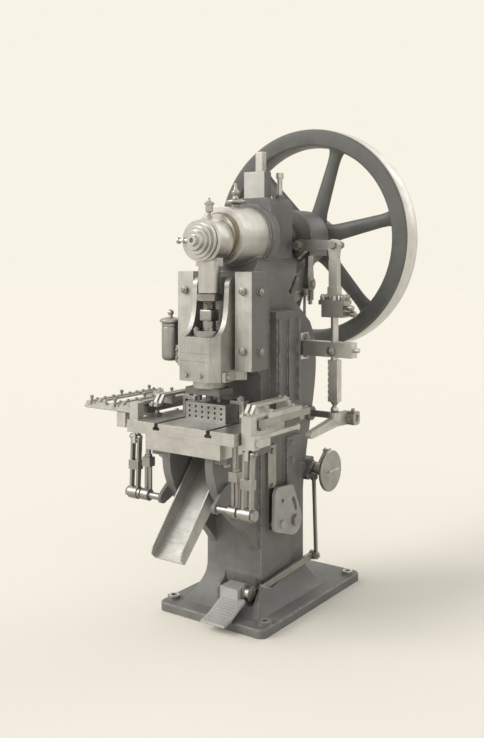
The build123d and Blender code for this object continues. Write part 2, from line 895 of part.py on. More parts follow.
def top_bar():
    # Square locking bar, with the turned stud that stands behind it.
    bar = block(0, top_bar_width, -64, top_bar_width - 64, top_box_top, top_box_top + top_bar_height)
    bar = chamfer(bar.edges(), 1.5)
    stud = round_z(11, pillar_top + 14, pillar_top + 98, top_stud_x, top_stud_y)
    stud += round_z(16, pillar_top + 82, pillar_top + 105, top_stud_x, top_stud_y)
    return Compound(children=[bar, stud])


def feed_rocker():
    # Hub with two arms: one rides on the cam, the other holds the rod's eye pin.
    hub = round_y(24, rocker_front, rocker_back, rocker_pivot_x, eye_height)
    arm = front_extrude(
        hull_of_circles([(rocker_pivot_x, eye_height, 22), (rod_x, eye_height, 19)]),
        rocker_front, rocker_front + rocker_arm,
    )
    tail = front_extrude(
        hull_of_circles([(rocker_pivot_x, eye_height, 20), (rocker_pivot_x - 40, eye_height - 42, 14)]),
        pillar_back + 26, pillar_back + 50,
    )
    body = hub + arm + tail
    body -= round_y(11 + running_gap, 0, 200, rocker_pivot_x, eye_height)
    return body - round_y(eye_pin_radius + pin_slack, 0, 200, rod_x, eye_height)


def rocker_stud():
    stud = round_y(11, rocker_front - 14, rear_block_front + 30, rocker_pivot_x, eye_height)
    washer = round_y(20, rocker_front - 6, rocker_front - flat_gap, rocker_pivot_x, eye_height)
    return stud + washer + hexagon((0, -1, 0), (rocker_pivot_x, rocker_front - 6, eye_height), 32, 14)


def feed_rod():
    # One rod in two lengths: flat above the clamp, square with marks below the guide.
    top = eye_height - 60
    shoulder = rod_clamp_z + 54
    low = ball_height + 32
    eye = front_extrude(
        hull_of_circles([(rod_x, eye_height, 23), (rod_x, top + 12, 17)]),
        guide_front + 6, rocker_front - 2,
    )
    neck = block(rod_x - 16, rod_x + 16, guide_front + 6, rocker_front - 2, top, eye_height - 18)
    flat = block(
        rod_x - rod_half_x, rod_x + rod_half_x, rod_y - rod_half_y, rod_y + rod_half_y, shoulder + 35, top,
    )
    thick = block(
        rod_x - rod_half_x - 4, rod_x + rod_half_x + 4,
        rod_y - rod_half_y - 3, rod_y + rod_half_y + 3, rod_clamp_z, shoulder + 35,
    )
    thick -= block(rod_x - 30, rod_x + 30, rod_y - 20, rod_y + 20, rod_clamp_z - 1, shoulder)
    stem = round_z(neck_radius, guide_low - 12, shoulder, rod_x, rod_y)
    lower = block(
        rod_x - rod_half_x - 2, rod_x + rod_half_x + 2,
        rod_y - rod_half_y - 3, rod_y + rod_half_y + 3, low, guide_low - 12,
    )
    mark_pitch = (guide_low - 12 - low) / (mark_count + 1)
    for index in range(1, mark_count + 1):
        z = low + index * mark_pitch
        lower -= block(rod_x - rod_half_x - 3, rod_x - rod_half_x + 1, rod_y - 20, rod_y + 20, z, z + 6)
    tip = revolve_z([
        (0, low + 4), (19, low + 4), (19, low), (8, low - 16), (8, low - 28), (0, low - 28),
    ], rod_x, rod_y)
    ball = Pos(rod_x, rod_y, ball_height) * Sphere(ball_end_radius)
    body = eye + neck + flat + thick + stem + lower + tip + ball
    return body - round_y(eye_pin_radius, 0, 100, rod_x, eye_height)


def eye_pin():
    pin = round_y(eye_pin_radius, guide_front - 6, rocker_front + rocker_arm + 16, rod_x, eye_height)
    head = hexagon((0, -1, 0), (rod_x, guide_front + 6, eye_height), 30, 14)
    nut_y = rocker_front + rocker_arm + 2
    nut = hexagon((0, 1, 0), (rod_x, nut_y, eye_height), 28, 14)
    return pin + head + nut


def rod_clamp():
    # Split block with an upper flange that joins the two halves of the rod.
    top = rod_clamp_z + 36
    low = rod_clamp_z - 32
    flange = block(rod_x - 58, rod_x + 58, rod_y - 28, rod_y + 34, rod_clamp_z + 18, top)
    lower = block(rod_x - 46, rod_x + 50, rod_y - 26, rod_y + 30, low, rod_clamp_z + 18)
    body = flange + lower
    body -= block(rod_x - 60, rod_x - neck_radius + 4, rod_y - 1.5, rod_y + 1.5, low - 1, top + 1)
    return body - round_z(neck_radius, low - 1, top + 1, rod_x, rod_y)


def rod_clamp_nuts():
    nuts = []
    top = rod_clamp_z + 36
    for dx in (-44, 44):
        for dy in (-14, 22):
            nuts.append(revolve_z([
                (0, top), (13, top), (13, top + 14), (10, top + 20), (0, top + 24),
            ], rod_x + dx, rod_y + dy))
    for dz, dy in ((6, -8), (-18, 12)):
        nuts.append(revolve_x([
            (rod_x + 50, 0), (rod_x + 50, 8), (rod_x + 64, 8), (rod_x + 64, 12), (rod_x + 86, 12),
            (rod_x + 90, 8), (rod_x + 90, 0),
        ], rod_y + dy, rod_clamp_z + dz))
    return Compound(children=nuts)


def guide_bracket():
    arm = block(half_column + 18, guide_reach, guide_front, guide_front + guide_depth, guide_low, guide_high)
    foot = block(half_column, half_column + 18, guide_front, 112, guide_low - 22, guide_high + 26)
    body = arm + foot
    body -= round_z(neck_radius + running_gap, guide_low - 1, guide_high + 1, rod_x, rod_y)
    body += round_x(9, guide_reach, guide_reach + 22, guide_front + 22, guide_low + 30)
    return body


def guide_bolt_places():
    return ((90, guide_high + 6), (90, guide_low - 2))


def feed_lever():
    low = lever_low_x
    high = lever_low_x + lever_width
    body = side_lever([(lever_pivot_y, lever_pivot_z, 27), (rod_y, lever_pivot_z - 2, 20)], low, high)
    body += side_lever([
        (rod_y, lever_pivot_z - 2, 20), (lever_pivot_y - 292, lever_pivot_z - 26, 13),
    ], low, high)
    cup_top = ball_height - ball_end_radius + 6
    body += round_z(25, lever_pivot_z, cup_top, rod_x, rod_y)
    seat = 36
    body -= Pos(rod_x, rod_y, ball_height - ball_end_radius - cup_gap + seat) * Sphere(seat)
    body -= round_x(14 + running_gap, low - 5, high + 5, lever_pivot_y, lever_pivot_z)
    return body


def lever_shaft():
    shaft = round_x(14, half_column - 30, lever_low_x + lever_width + 30, lever_pivot_y, lever_pivot_z)
    collar = round_x(22, lever_low_x - 16, lever_low_x - flat_gap, lever_pivot_y, lever_pivot_z)
    return shaft + collar


def lever_end_block():
    low = lever_low_x + lever_width + flat_gap
    high = low + 34
    body = side_extrude(
        Pos(lever_pivot_y, lever_pivot_z) * RectangleRounded(54, 54, 14), low, high,
    )
    body -= round_x(14, low - 1, high + 1, lever_pivot_y, lever_pivot_z)
    middle = (low + high) / 2
    body += round_y(7, lever_pivot_y - 40, lever_pivot_y - 26, middle, lever_pivot_z)
    body += round_z(7, lever_pivot_z + 26, lever_pivot_z + 38, middle, lever_pivot_y)
    return body


def rail(side):
    back = rail_front + rail_length
    x = side * rail_x
    body = block(x - rail_half_width, x + rail_half_width, rail_front, back, rail_top - rail_depth, rail_top)
    body += block(x - 5, x + 5, rail_front, back, rail_top, rail_top + 7)
    for y in rail_seat_places():
        inner = table_width / 2 - 28
        low = min(side * inner, side * (rail_x + rail_half_width))
        high = max(side * inner, side * (rail_x + rail_half_width))
        body += block(low, high, y - 16, y + 16, table_top, rail_top - rail_depth)
    return body


def rail_seat_places():
    return rail_front + 28, rail_front + rail_length - 60


def feed_slide(side):
    # The carriage that straddles the rail, with swan-necked fingers and a drop bracket.
    x = side * rail_x
    low_z = rail_top + slide_gap
    front = rail_front + 60
    back = front + 230
    plate = block(x - 17, x + 17, front, back, low_z, low_z + 16)
    plate -= block(x - 5 - slide_gap, x + 5 + slide_gap, front - 1, back + 1, low_z - 1, low_z + 8)
    for y in (front + 30, back - 50):
        inner = side * (rail_x - finger_shifts[-1] - finger_width)
        outer = side * (rail_x - 16)
        neck_top = low_z + finger_rise + 4
        plate += block(min(inner, outer), max(inner, outer), y, y + 22, low_z + 3, neck_top)
        plate += round_z(7, low_z + 14, low_z + 26, x, y + 11)
    for shift in finger_shifts:
        inner = side * (rail_x - shift - finger_width)
        outer = side * (rail_x - shift)
        plate += side_extrude(finger_outline(low_z), min(inner, outer), max(inner, outer))
        middle = (inner + outer) / 2
        for y in (finger_front + 12, finger_back - 20):
            seat = low_z + (13 if y < front else finger_rise + 13)
            plate += hexagon((0, 0, 1), (middle, y, seat - 1), finger_width - 2, 8)
    # Bar that runs forward over the rail and turns down in front of it
    drop_y = rock_top_y
    plate += block(x - 8, x + 8, drop_y - 17, front, low_z + 8, low_z + 20)
    drop_low = min(x - side * 21, x + side * drop_reach)
    drop_high = max(x - side * 21, x + side * drop_reach)
    plate += block(x - 21, x + 21, drop_y - 17, drop_y + 17, drop_foot + 48, low_z + 20)
    plate += block(drop_low, drop_high, drop_y - 17, drop_y + 17, drop_foot, drop_foot + 48)
    plate += hexagon((side, 0, 0), (x + side * drop_reach, drop_y + 2, drop_foot + 22), 26, 9)
    # Push bar that runs back beside the table from the drop bracket
    bar_out = x + side * drop_reach
    bar_in = bar_out - side * 10
    bar_z = drop_foot + 39
    plate += block(
        min(bar_in, bar_out), max(bar_in, bar_out), drop_y + 15, push_bar_end, bar_z - 7, bar_z + 7,
    )
    plate += round_x(12, min(bar_in, bar_out), max(bar_in, bar_out), push_bar_end, bar_z)
    tongue = block(x - 7, x + 7, drop_y - 17, drop_y + 17, rock_top_z - 22, drop_foot)
    slot = block(
        x - 8, x + 8, drop_y - rock_pin_radius - pin_slack, drop_y + rock_pin_radius + pin_slack,
        rock_top_z - rock_pin_radius - slide_play, rock_top_z + rock_pin_radius + slide_play,
    )
    return plate + (tongue - slot)


def finger_outline(low_z):
    # Side view of a finger: low at the front, then up a neck and level to the back.
    low, high = low_z + 3, low_z + finger_rise + 3
    return polygon([
        (finger_front, low), (finger_front + 30, low), (finger_front + 54, high), (finger_back, high),
        (finger_back, high + 10), (finger_front + 48, high + 10), (finger_front + 24, low + 10),
        (finger_front, low + 10),
    ])


def left_tray():
    # Two cross carriers reach out to the left and hold the long bars of the blank tray.
    outer = -(rail_x + left_bar_count * left_bar_spacing + 22)
    low = rail_top - rail_depth
    high = rail_top - 8
    front_y = rail_front - 26
    back_y = rail_front + rail_length - 30
    front_inner = -(rail_x + 31)
    body = block(outer, -(rail_x + rail_half_width), back_y - 13, back_y + 13, low, high)
    body += block(outer, front_inner, front_y - 13, front_y + 13, low, high)
    body += block(outer, front_inner, front_y - 21, front_y - 13, low + 4, low + 11)
    for index in range(1, left_bar_count + 1):
        x = -(rail_x + index * left_bar_spacing)
        body += block(x - 11, x + 11, front_y - 20, back_y + 40, high, rail_top + 4)
        body += block(x + 16, x + 26, front_y - 12, back_y + 30, high, rail_top)
        body += block(x - 24, x - 17, front_y - 8, back_y + 16, high, rail_top + 1)
    # Stop strips on the carriers, and the block that hangs under the front one
    for index in range(1, left_bar_count + 1):
        x = -(rail_x + (index - 0.5) * left_bar_spacing)
        for y in (front_y, back_y):
            body += block(x - 32, x + 22, y - 11, y + 11, high, rail_top - 1)
    hang_x = -(rail_x + 80)
    return body + block(hang_x - 23, hang_x + 22, front_y - 17, front_y + 17, low - 58, low)


def rock_lever(side):
    # Forked lever: a hub on the stud, two upright rods and the pin between them.
    inner = side * (rail_x - rock_fork_width / 2)
    outer = side * (rail_x + rock_fork_width / 2)
    low, high = min(inner, outer), max(inner, outer)
    body = round_x(24, low, high, rock_pivot_y, rock_pivot_z)
    for x in (low + 5, high - 5):
        body += side_lever([
            (rock_pivot_y, rock_pivot_z + 16, 9), (rock_top_y, rock_top_z, 10),
        ], x - 5, x + 5)
    tie_z = (rock_pivot_z + rock_top_z) / 2
    tie_y = (rock_pivot_y + rock_top_y) / 2
    body += block(low - 3, high + 3, tie_y - 15, tie_y + 15, tie_z - 17, tie_z + 18)
    body += round_x(rock_pin_radius, low - 3, high + 3, rock_top_y, rock_top_z)
    return body - round_x(13 + running_gap, low - 5, high + 5, rock_pivot_y, rock_pivot_z)


def rock_studs():
    studs = []
    for side in (-1, 1):
        inner = side * (rib_inner + rib_thickness + 14)
        outer = side * (rail_x + rock_fork_width / 2 + 14)
        collar = side * (rail_x - rock_fork_width / 2 - 14)
        stud = round_x(13, min(inner, outer), max(inner, outer), rock_pivot_y, rock_pivot_z)
        seat = collar + side * (14 - flat_gap)
        stud += round_x(20, min(collar, seat), max(collar, seat), rock_pivot_y, rock_pivot_z)
        nut_at = side * (rail_x + rock_fork_width / 2 + flat_gap)
        stud += hexagon((side, 0, 0), (nut_at, rock_pivot_y, rock_pivot_z), 36, 13)
        studs.append(stud)
    return Compound(children=studs)


def quadrant():
    low = half_column + quadrant_offset
    high = low + quadrant_thickness
    y, z = quadrant_y, quadrant_z
    body = side_lever([
        (y, z, 57), (y - 114, z + 8, 30), (y - 112, z + 124, 28), (y - 26, z + 118, 28),
    ], low, high)
    for place in ((y - 7, z + 86), (y + 13, z + 44)):
        body -= side_lever([(*place, 10), (y + 6, z + 67, 10)], low - 1, high + 1)
    body -= round_x(9, low - 1, high + 1, y - 84, z + 96)
    body += hexagon((1, 0, 0), (high, y - 92, z + 6), 30, 10)
    return body - round_x(12 + running_gap, low - 1, high + 1, y, z)


def quadrant_stud():
    low = half_column + quadrant_offset
    high = low + quadrant_thickness
    seat = half_column + pad_thickness
    stud = round_x(12, seat, high + 16, quadrant_y, quadrant_z)
    collar = round_x(22, seat, low - flat_gap, quadrant_y, quadrant_z)
    return stud + collar + hexagon((1, 0, 0), (high + flat_gap, quadrant_y, quadrant_z), 40, 14)


def side_plate():
    high = side_plate_bottom + side_plate_height
    plate = block(half_column, half_column + 12, side_plate_front, side_plate_back, side_plate_bottom, high)
    for z in (side_plate_bottom + 22, side_plate_bottom + 170, high - 22):
        y = (side_plate_front + side_plate_back) / 2
        plate += bolt((1, 0, 0), (half_column + 12, y, z), 12, 0)
    return plate


def treadle_bearing(x):
    half = treadle_bearing_width / 2
    ring = round_x(32, x - half, x + half, treadle_y, treadle_z)
    foot = block(x - half, x + half, treadle_y - 28, column_front + 2, base_thickness, treadle_z)
    body = ring + foot
    return body - round_x(treadle_shaft_radius + running_gap, x - 20, x + 20, treadle_y, treadle_z)


def treadle_shaft():
    return round_x(treadle_shaft_radius, -34, arm_hub_x + arm_hub_width, treadle_y, treadle_z)


def treadle():
    # Hub block on the rocking shaft with the pedal plate in front of it.
    right = pedal_left + pedal_width
    hub = block(pedal_left - 4, 88, treadle_y - 50, treadle_y + 26, treadle_z - 26, treadle_z + 24)
    curve = make_face([
        Spline((pedal_front, 40), (-390, 52), (-320, 84), (-290, 94)),
        Line((-290, 94), (-290, 84)),
        Spline((-290, 84), (-320, 75), (-390, 43), (pedal_front, 32)),
        Line((pedal_front, 32), (pedal_front, 40)),
    ])
    plate = side_extrude(curve, pedal_left, right)
    plate -= block(87, right + 1, treadle_y - 42, treadle_y, 0, treadle_z)
    body = hub + plate
    return body - round_x(treadle_shaft_radius, -70, 200, treadle_y, treadle_z)


def arm_bar(across, below, above, start, end):
    # A bar along the treadle arm's slanting line; start and end are shares of its length.
    first = Vector(arm_hub_x + arm_hub_width / 2, treadle_y, treadle_z - 4)
    last = Vector(side_lever_x + side_lever_width / 2, side_lever_end_y, side_lever_end_z)
    run = last - first
    plane = Plane(origin=first + run * start, x_dir=(-run.Y, run.X, 0), z_dir=run)
    section = Pos(0, (above - below) / 2) * Rectangle(across, above + below)
    return extrude(plane * section, amount=run.length * (end - start))


def treadle_arm():
    # The arm slants from the shaft through the foot of the column to the clutch rod.
    low = side_lever_x
    high = low + side_lever_width
    body = arm_bar(14, 13, 13, 0.02, 0.985)
    body += round_x(30, arm_hub_x, arm_hub_x + arm_hub_width, treadle_y, treadle_z)
    body += round_x(19, low, high, side_lever_end_y, side_lever_end_z)
    body -= round_x(treadle_shaft_radius, arm_hub_x - 1, arm_hub_x + arm_hub_width + 1, treadle_y, treadle_z)
    return body + round_x(8, high, high + 24, side_lever_end_y, side_lever_end_z)


def treadle_channel():
    # The way through the casting, with room above for the arm to rise.
    return arm_bar(26, 19, 40, 0.02, 1.02)


clutch_rod_x = side_lever_x + side_lever_width + 2


def clutch_rod():
    y1 = disc_y + disc_pin_back
    z1 = disc_z + disc_pin_drop
    low = clutch_rod_x
    high = low + 14
    foot = round_x(16, low, high, side_lever_end_y, side_lever_end_z)
    head = round_x(16, low, high, y1, z1)
    shank = side_lever([(side_lever_end_y, side_lever_end_z, 6), (y1, z1, 6)], low + 1, high - 1)
    body = foot + head + shank
    body -= round_x(8 + running_gap, low - 1, high + 1, side_lever_end_y, side_lever_end_z)
    return body - round_x(8 + pin_slack, low - 1, high + 1, y1, z1)


def clutch_disc():
    # Disc turned in one with the shaft that crosses behind the column.
    disc = revolve_x([
        (pull_side_x - 24, 0), (pull_side_x - 24, 15), (214, 15), (214, 40), (222, 46),
        (222, disc_radius - 3),
        (225, disc_radius), (233, disc_radius), (236, disc_radius - 3), (236, 0),
    ], disc_y, disc_z)
    return disc - block(233, 237, disc_y - 40, disc_y + 40, disc_z - 2, disc_z + 2)


def clutch_crank():
    low = half_column + 14
    high = low + 18
    pin_y = disc_y + disc_pin_back
    pin_z = disc_z + disc_pin_drop
    body = side_lever([(disc_y, disc_z, 28), (pin_y, pin_z, 16)], low, high)
    body += round_x(8, high, clutch_rod_x + 14 + 8, pin_y, pin_z)
    return body - round_x(15, low - 1, high + 1, disc_y, disc_z)


def pull_crank():
    low = pull_side_x
    high = low + 16
    far_y = disc_y - disc_pin_back
    far_z = disc_z - disc_pin_drop
    body = side_lever([(disc_y, disc_z, 26), (far_y, far_z, 15)], low, high)
    body += round_x(8, high, high + 16, far_y, far_z)
    return body - round_x(15, low - 1, high + 1, disc_y, disc_z)


def pull_rod():
    low = pull_side_x + 17
    high = low + 11
    y0 = disc_y - disc_pin_back
    z0 = disc_z - disc_pin_drop
    body = round_x(15, low, high, y0, z0)
    body += side_lever([(y0, z0, 5), (latch_pin_y, latch_pin_z, 5)], low + 1, high - 1)
    body += round_x(14, low, high, latch_pin_y, latch_pin_z)
    body -= round_x(8 + running_gap, low - 1, high + 1, y0, z0)
    return body - round_x(7 + pin_slack, low - 1, high + 1, latch_pin_y, latch_pin_z)


def clutch_latch():
    # Trip lever whose upper nose stands in the clutch's path below the rear bearing.
    low = pull_side_x
    high = low + 16
    body = side_lever([(latch_y, latch_z, 22), (latch_pin_y, latch_pin_z, 13)], low, high)
    body += side_lever([(latch_y, latch_z, 20), (latch_y + 48, latch_z + 91, 11)], low, high)
    body += round_x(7, high, high + 15, latch_pin_y, latch_pin_z)
    return body - round_x(10 + running_gap, low - 1, high + 1, latch_y, latch_z)


def spring_bracket():
    # Hanger under the rear bearing with a cross boss and the stem of the return spring.
    low, high = half_pillar + 12, rear_block_width / 2
    y, z = 186, rear_block_bottom - 119
    body = side_lever([(y, z + 100, 18), (y, z, 27)], low, high)
    body += block(low, high, 166, 206, rear_block_bottom - 33, rear_block_bottom)
    body += round_x(30, low - 6, high + 6, y, z)
    body += hexagon((1, 0, 0), (high + 6, y, z), 26, 10)
    return body + round_z(9, z - 88, z, (low + high) / 2, y + 10)


def hanging_rods():
    # Struts under the table edge that end in eyes on the rocking levers' studs.
    rods = []
    for side in (-1, 1):
        x = side * hanger_x
        rod = block(x - 19, x + 19, hanger_y - 16, hanger_y + 16, 597, 632)
        rod += round_z(11, 632, stem_top, x, hanger_y)
        rod += round_z(8, rock_pivot_z + 15, 597, x - side * 9, hanger_y)
        rod += round_z(8, rock_pivot_z + 15, 597, x + side * 9, hanger_y)
        rod += round_x(22, x - 17, x + 17, rock_pivot_y, rock_pivot_z)
        rods.append(rod - round_x(13, x - 20, x + 20, rock_pivot_y, rock_pivot_z))
    return Compound(children=rods)


def pivot_studs():
    stud = round_x(10, pull_side_x - 20, pull_side_x + 20, latch_y, latch_z)
    stud += hexagon((1, 0, 0), (pull_side_x + 16 + flat_gap, latch_y, latch_z), 26, 10)
    return Compound(children=[stud, quadrant_stud(), rocker_stud()])


def part_list():
    return {
        "frame_casting": frame_casting,
        "bushes": bushes,
        "crankshaft": crankshaft,
        "feed_cam": feed_cam,
        "flywheel": flywheel,
        "tail_collar": tail_collar,
        "crank_pin": crank_pin,
        "strap": strap,
        "strap_oiler": lambda: oiler(0, ram_y, pin_height + strap_radius + 3, 24),
        "nose_rings": nose_rings,
        "ball_screw": ball_screw,
        "screw_nut": screw_nut,
        "ram": ram,
        "ball_cap": ball_cap,
        "ball_cap_nuts": ball_cap_nuts,
        "punch_plate": punch_plate,
        "punches": punches,
        "left_gib": lambda: gib(-1),
        "right_gib": lambda: gib(1),
        "frame_bolts": frame_bolts,
        "table": table,
        "table_bolts": table_bolts,
        "die_block": die_block,
        "die_clamps": die_clamps,
        "chute": chute,
        "lubricator_pot": lubricator_pot,
        "lubricator_cap": lubricator_cap,
        "housing_oiler": housing_oiler,
        "top_bar": top_bar,
        "pivot_studs": pivot_studs,
        "rock_studs": rock_studs,
        "hanging_rods": hanging_rods,
        "side_plate": side_plate,
        "spring_bracket": spring_bracket,
        "guide_bracket": guide_bracket,
        "lever_shaft": lever_shaft,
        "lever_end_block": lever_end_block,
        "left_rail": lambda: rail(-1),
        "right_rail": lambda: rail(1),
        "left_tray": left_tray,
        "feed_rocker": feed_rocker,
        "feed_rod": feed_rod,
        "eye_pin": eye_pin,
        "rod_clamp": rod_clamp,
        "rod_clamp_nuts": rod_clamp_nuts,
        "feed_lever": feed_lever,
        "left_feed_slide": lambda: feed_slide(-1),
        "right_feed_slide": lambda: feed_slide(1),
        "left_rock_lever": lambda: rock_lever(-1),
        "right_rock_lever": lambda: rock_lever(1),
        "quadrant": quadrant,
        "treadle": treadle,
        "treadle_shaft": treadle_shaft,
        "treadle_arm": treadle_arm,
        "clutch_rod": clutch_rod,
        "clutch_disc": clutch_disc,
        "clutch_crank": clutch_crank,
        "pull_crank": pull_crank,
        "pull_rod": pull_rod,
        "clutch_latch": clutch_latch,
    }


os.makedirs("parts", exist_ok=True)
for node, maker in part_list().items():
    export_step(maker(), f"parts/{node}.step")
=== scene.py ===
from math import cos, pi, radians, sin

import bmesh
import bpy
from mathutils import Matrix, Vector


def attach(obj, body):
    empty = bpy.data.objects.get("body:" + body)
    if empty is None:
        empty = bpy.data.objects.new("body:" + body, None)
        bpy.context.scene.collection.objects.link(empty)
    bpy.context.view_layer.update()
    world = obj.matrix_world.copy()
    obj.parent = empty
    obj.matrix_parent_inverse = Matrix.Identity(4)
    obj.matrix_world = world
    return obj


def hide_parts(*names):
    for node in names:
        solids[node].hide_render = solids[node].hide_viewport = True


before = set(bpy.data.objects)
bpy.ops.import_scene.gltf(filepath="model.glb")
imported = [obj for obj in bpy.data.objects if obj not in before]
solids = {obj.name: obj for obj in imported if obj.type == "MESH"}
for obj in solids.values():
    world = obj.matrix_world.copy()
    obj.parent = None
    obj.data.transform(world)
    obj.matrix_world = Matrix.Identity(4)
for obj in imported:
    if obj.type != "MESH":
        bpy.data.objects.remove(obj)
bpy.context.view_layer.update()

# Pieces are shaped in millimetres and brought to metres when they are added
millimetre = 0.001
up, down, right = (0, 0, 1), (0, 0, -1), (1, 0, 0)
front, back = (0, -1, 0), (0, 1, 0)
sides = (-1, 1)
shaft_z, screw_line = 1480, -374.5

# The same places in metres, for the finishes
shaft_height, pin_height, strap_middle = 1.480, 1.460, -0.3745

# Where finishes change on a casting or a guide, in metres
rim_face_radius = 0.4866
barrel_radius = 0.1165
barrel_ends = (-0.308, -0.1202)
# The box's front is made bright, partly as a painted highlight, and its sides keep the paint
box_half_width = 0.0502
box_heights = (1.6, 1.8)
box_front = (-0.0735, -0.0722)
box_brightness = 0.72
# The guides' sides take the press's paint, which darkens them partly as painted shade
guide_side_band = (0.1765, 0.1775)
mask_softness = 0.0006

# The camera, held level. The picture is shifted down instead, so that uprights stay upright
camera_place = (2.054, -3.066, 1.400)
camera_turn = 35.24
camera_lens = 43.317
camera_sensor = 36
camera_shift = -0.1524

# Lamps: name, place, strength, spread in degrees and colour
lamps = (
    ("key", (-3.4, -4.2, 4.8), 1.64, 34, (1.0, 0.99, 0.97)),
    ("fill", (4.5, -2.4, 2.6), 0.2, 60, (0.97, 0.98, 1.0)),
    ("back", (1.5, 4.5, 4.0), 0.55, 50, (1.0, 1.0, 1.0)),
)
lamp_target = (0, 0, 1)

# Floor and world
floor_size = 60.0
floor_colour = (0.90, 0.86, 0.76, 1)
floor_roughness = 0.9
seen_world = (0.94, 0.90, 0.785, 1)
dim_world = (0.26, 0.26, 0.255, 1)
bright_world = (0.84, 0.835, 0.82, 1)
bright_heading = (-0.80, -0.50, 0.33)
bright_span = (-0.7, 0.8)

# Noise patterns: waves to the metre, detail and roughness. The ones with 1 wave are stretched first
wear_patches = (38.0, 4.0, 0.55)
paint_mottle = (9.0, 6.0, 0.6)
paint_stains = (1.0, 5.0, 0.6)
casting_sand = (520.0, 3.0, 0.7)
casting_lumps = (60.0, 3.0, 0.5)
planing_lines = (1.0, 4.0, 0.6)
planing_clouds = (17.0, 5.0, 0.6)
turning_rings = (1.0, 3.0, 0.6)
turning_clouds = (24.0, 5.0, 0.6)
grime_and_shade_patches = (13.0, 6.0, 0.65)

# Where each pattern starts to show and where it is full
wear_on_corners = (0.995, 0.86)
wear_in_patches = (0.36, 0.62)
mottle_span = (0.3, 0.7)
stain_span = (0.52, 0.74)
mark_span = (0.32, 0.66)
dust_on_slopes = (0.4, 0.95)
dust_in_patches = (0.35, 0.75)
# A greasy film darkens faces that look down, partly as painted shade
grease_and_shade_on_slopes = (0.25, -0.5)
grease_and_shade_in_patches = (0.3, 0.65)

# Stretches, in waves to the metre along X, Y and Z
stain_stretch = (14.0, 14.0, 2.2)
ring_stretch = (1100.0, 1100.0, 0.0)

# Planing marks have few waves along the cut and many across it
few, many = 14.0, 900.0
along_x = (few, many, many)
along_y = (many, few, many)
along_z = (many, many, few)

# Turning marks run round a line. The directions across it are 1
about_y = (1.0, 0.0, 1.0)
about_z = (1.0, 1.0, 0.0)

# Shares and strengths of the finishes, in metres where they are lengths
corner_samples = 4
mark_depth = 0.00012
mark_roughness = 0.14
sand_share, lump_share = 0.45, 0.8
line_share, plane_cloud_share = 0.6, 0.4
ring_share, turn_cloud_share = 0.65, 0.35
paint_wear, paint_dirt = 0.9, 0.5
steel_wear, steel_grime_and_shade = 0.6, 0.8
stain_strength, dust_strength, grease_and_shade_strength = 0.18, 0.35, 0.6
worn_metallic = 0.8
bare_smoothness = 0.9
paint_shades = (0.80, 1.16)
steel_shades = (0.72, 1, 1.25)
paint_roughness = (0.42, 0.62)
bare_roughness_drop = 0.04
rubbed_metal = (0.52, 0.515, 0.50, 1)
stain_colour = (0.035, 0.032, 0.028, 1)
dust_colour = (0.30, 0.28, 0.25, 1)
# The greasy film, which is partly painted shade on faces that look down
grease_and_shade_colour = (0.07, 0.06, 0.05, 1)
turned_dark = (0.52, 0.515, 0.495, 1)
turned_light = (0.68, 0.67, 0.645, 1)

# Colours of the finishes
iron_grey = (0.176, 0.173, 0.166)
wheel_grey = (0.118, 0.116, 0.110)
pedal_grey = (0.41, 0.405, 0.388)
bright_grey = (0.65, 0.64, 0.61)
guide_grey = (0.62, 0.61, 0.585)
slide_grey = (0.50, 0.49, 0.468)
steel_grey = (0.42, 0.41, 0.39)
bolt_grey = (0.40, 0.39, 0.37)
spring_grey = (0.30, 0.29, 0.28)
tool_grey = (0.22, 0.22, 0.22)
die_grey = (0.38, 0.38, 0.37)
sheet_grey = (0.56, 0.555, 0.54)
bronze = (0.42, 0.36, 0.27)
oiler_grey = (0.50, 0.485, 0.45)

# In degrees: edges sharper than the first are broken, and edges sharper than the second look sharp
broken_angle = 28
sharp_angle = 32

# Points nearer than this are welded, in millimetres
weld = 0.0005

# How many sides and steps round shapes have
wire_sides, steps_in_turn = 8, 20
bolt_steps, tip_steps = 36, 24
arm_sides = 28

# A hexagon: its blank over its corners, its top face as a share of the width, and its chamfer's slope
blank_margin, top_face, chamfer_slope = 1.01, 0.475, 0.5

# A bolt, in shares of its thread. The washer's radius is a share of the hexagon's width, and the
# tip's shoulder and crown are shares of its rise
bolt_across = 1.7
washer_thickness, washer_radius = 0.16, 0.62
head_foot, head_height = 0.14, 0.7
tip_foot, tip_rise, tip_radius, tip_face = 0.84, 0.35, 0.46, 0.3
tip_shoulder, tip_crown = 0.6, 1.08

# A thumb screw's heights and radii, in shares of its size
thumb_screw_outline = (
    (0, 0), (0, 0.32), (0.5, 0.32), (0.55, 0.5), (1.15, 0.5), (1.3, 0.36), (1.36, 0),
)


def add_camera():
    """A camera in front of the right side, about as high as a stooping viewer's eye."""
    data = bpy.data.cameras.new("camera")
    data.lens = camera_lens
    data.sensor_width = camera_sensor
    data.shift_y = camera_shift
    camera = bpy.data.objects.new("camera", data)
    camera.location = camera_place
    camera.rotation_euler = (radians(90), 0, radians(camera_turn))
    bpy.context.collection.objects.link(camera)
    bpy.context.scene.camera = camera


def add_sun(name, place, strength, spread, colour):
    """A distant soft light that shines from a place towards the machine's middle."""
    data = bpy.data.lights.new(name, "SUN")
    data.energy = strength
    data.angle = radians(spread)
    data.color = colour
    lamp = bpy.data.objects.new(name, data)
    lamp.rotation_euler = (Vector(lamp_target) - Vector(place)).to_track_quat("-Z", "Y").to_euler()
    bpy.context.collection.objects.link(lamp)


# Places of the colour sockets on a mixing node
first_colour, second_colour, mixed_colour = 6, 7, 2


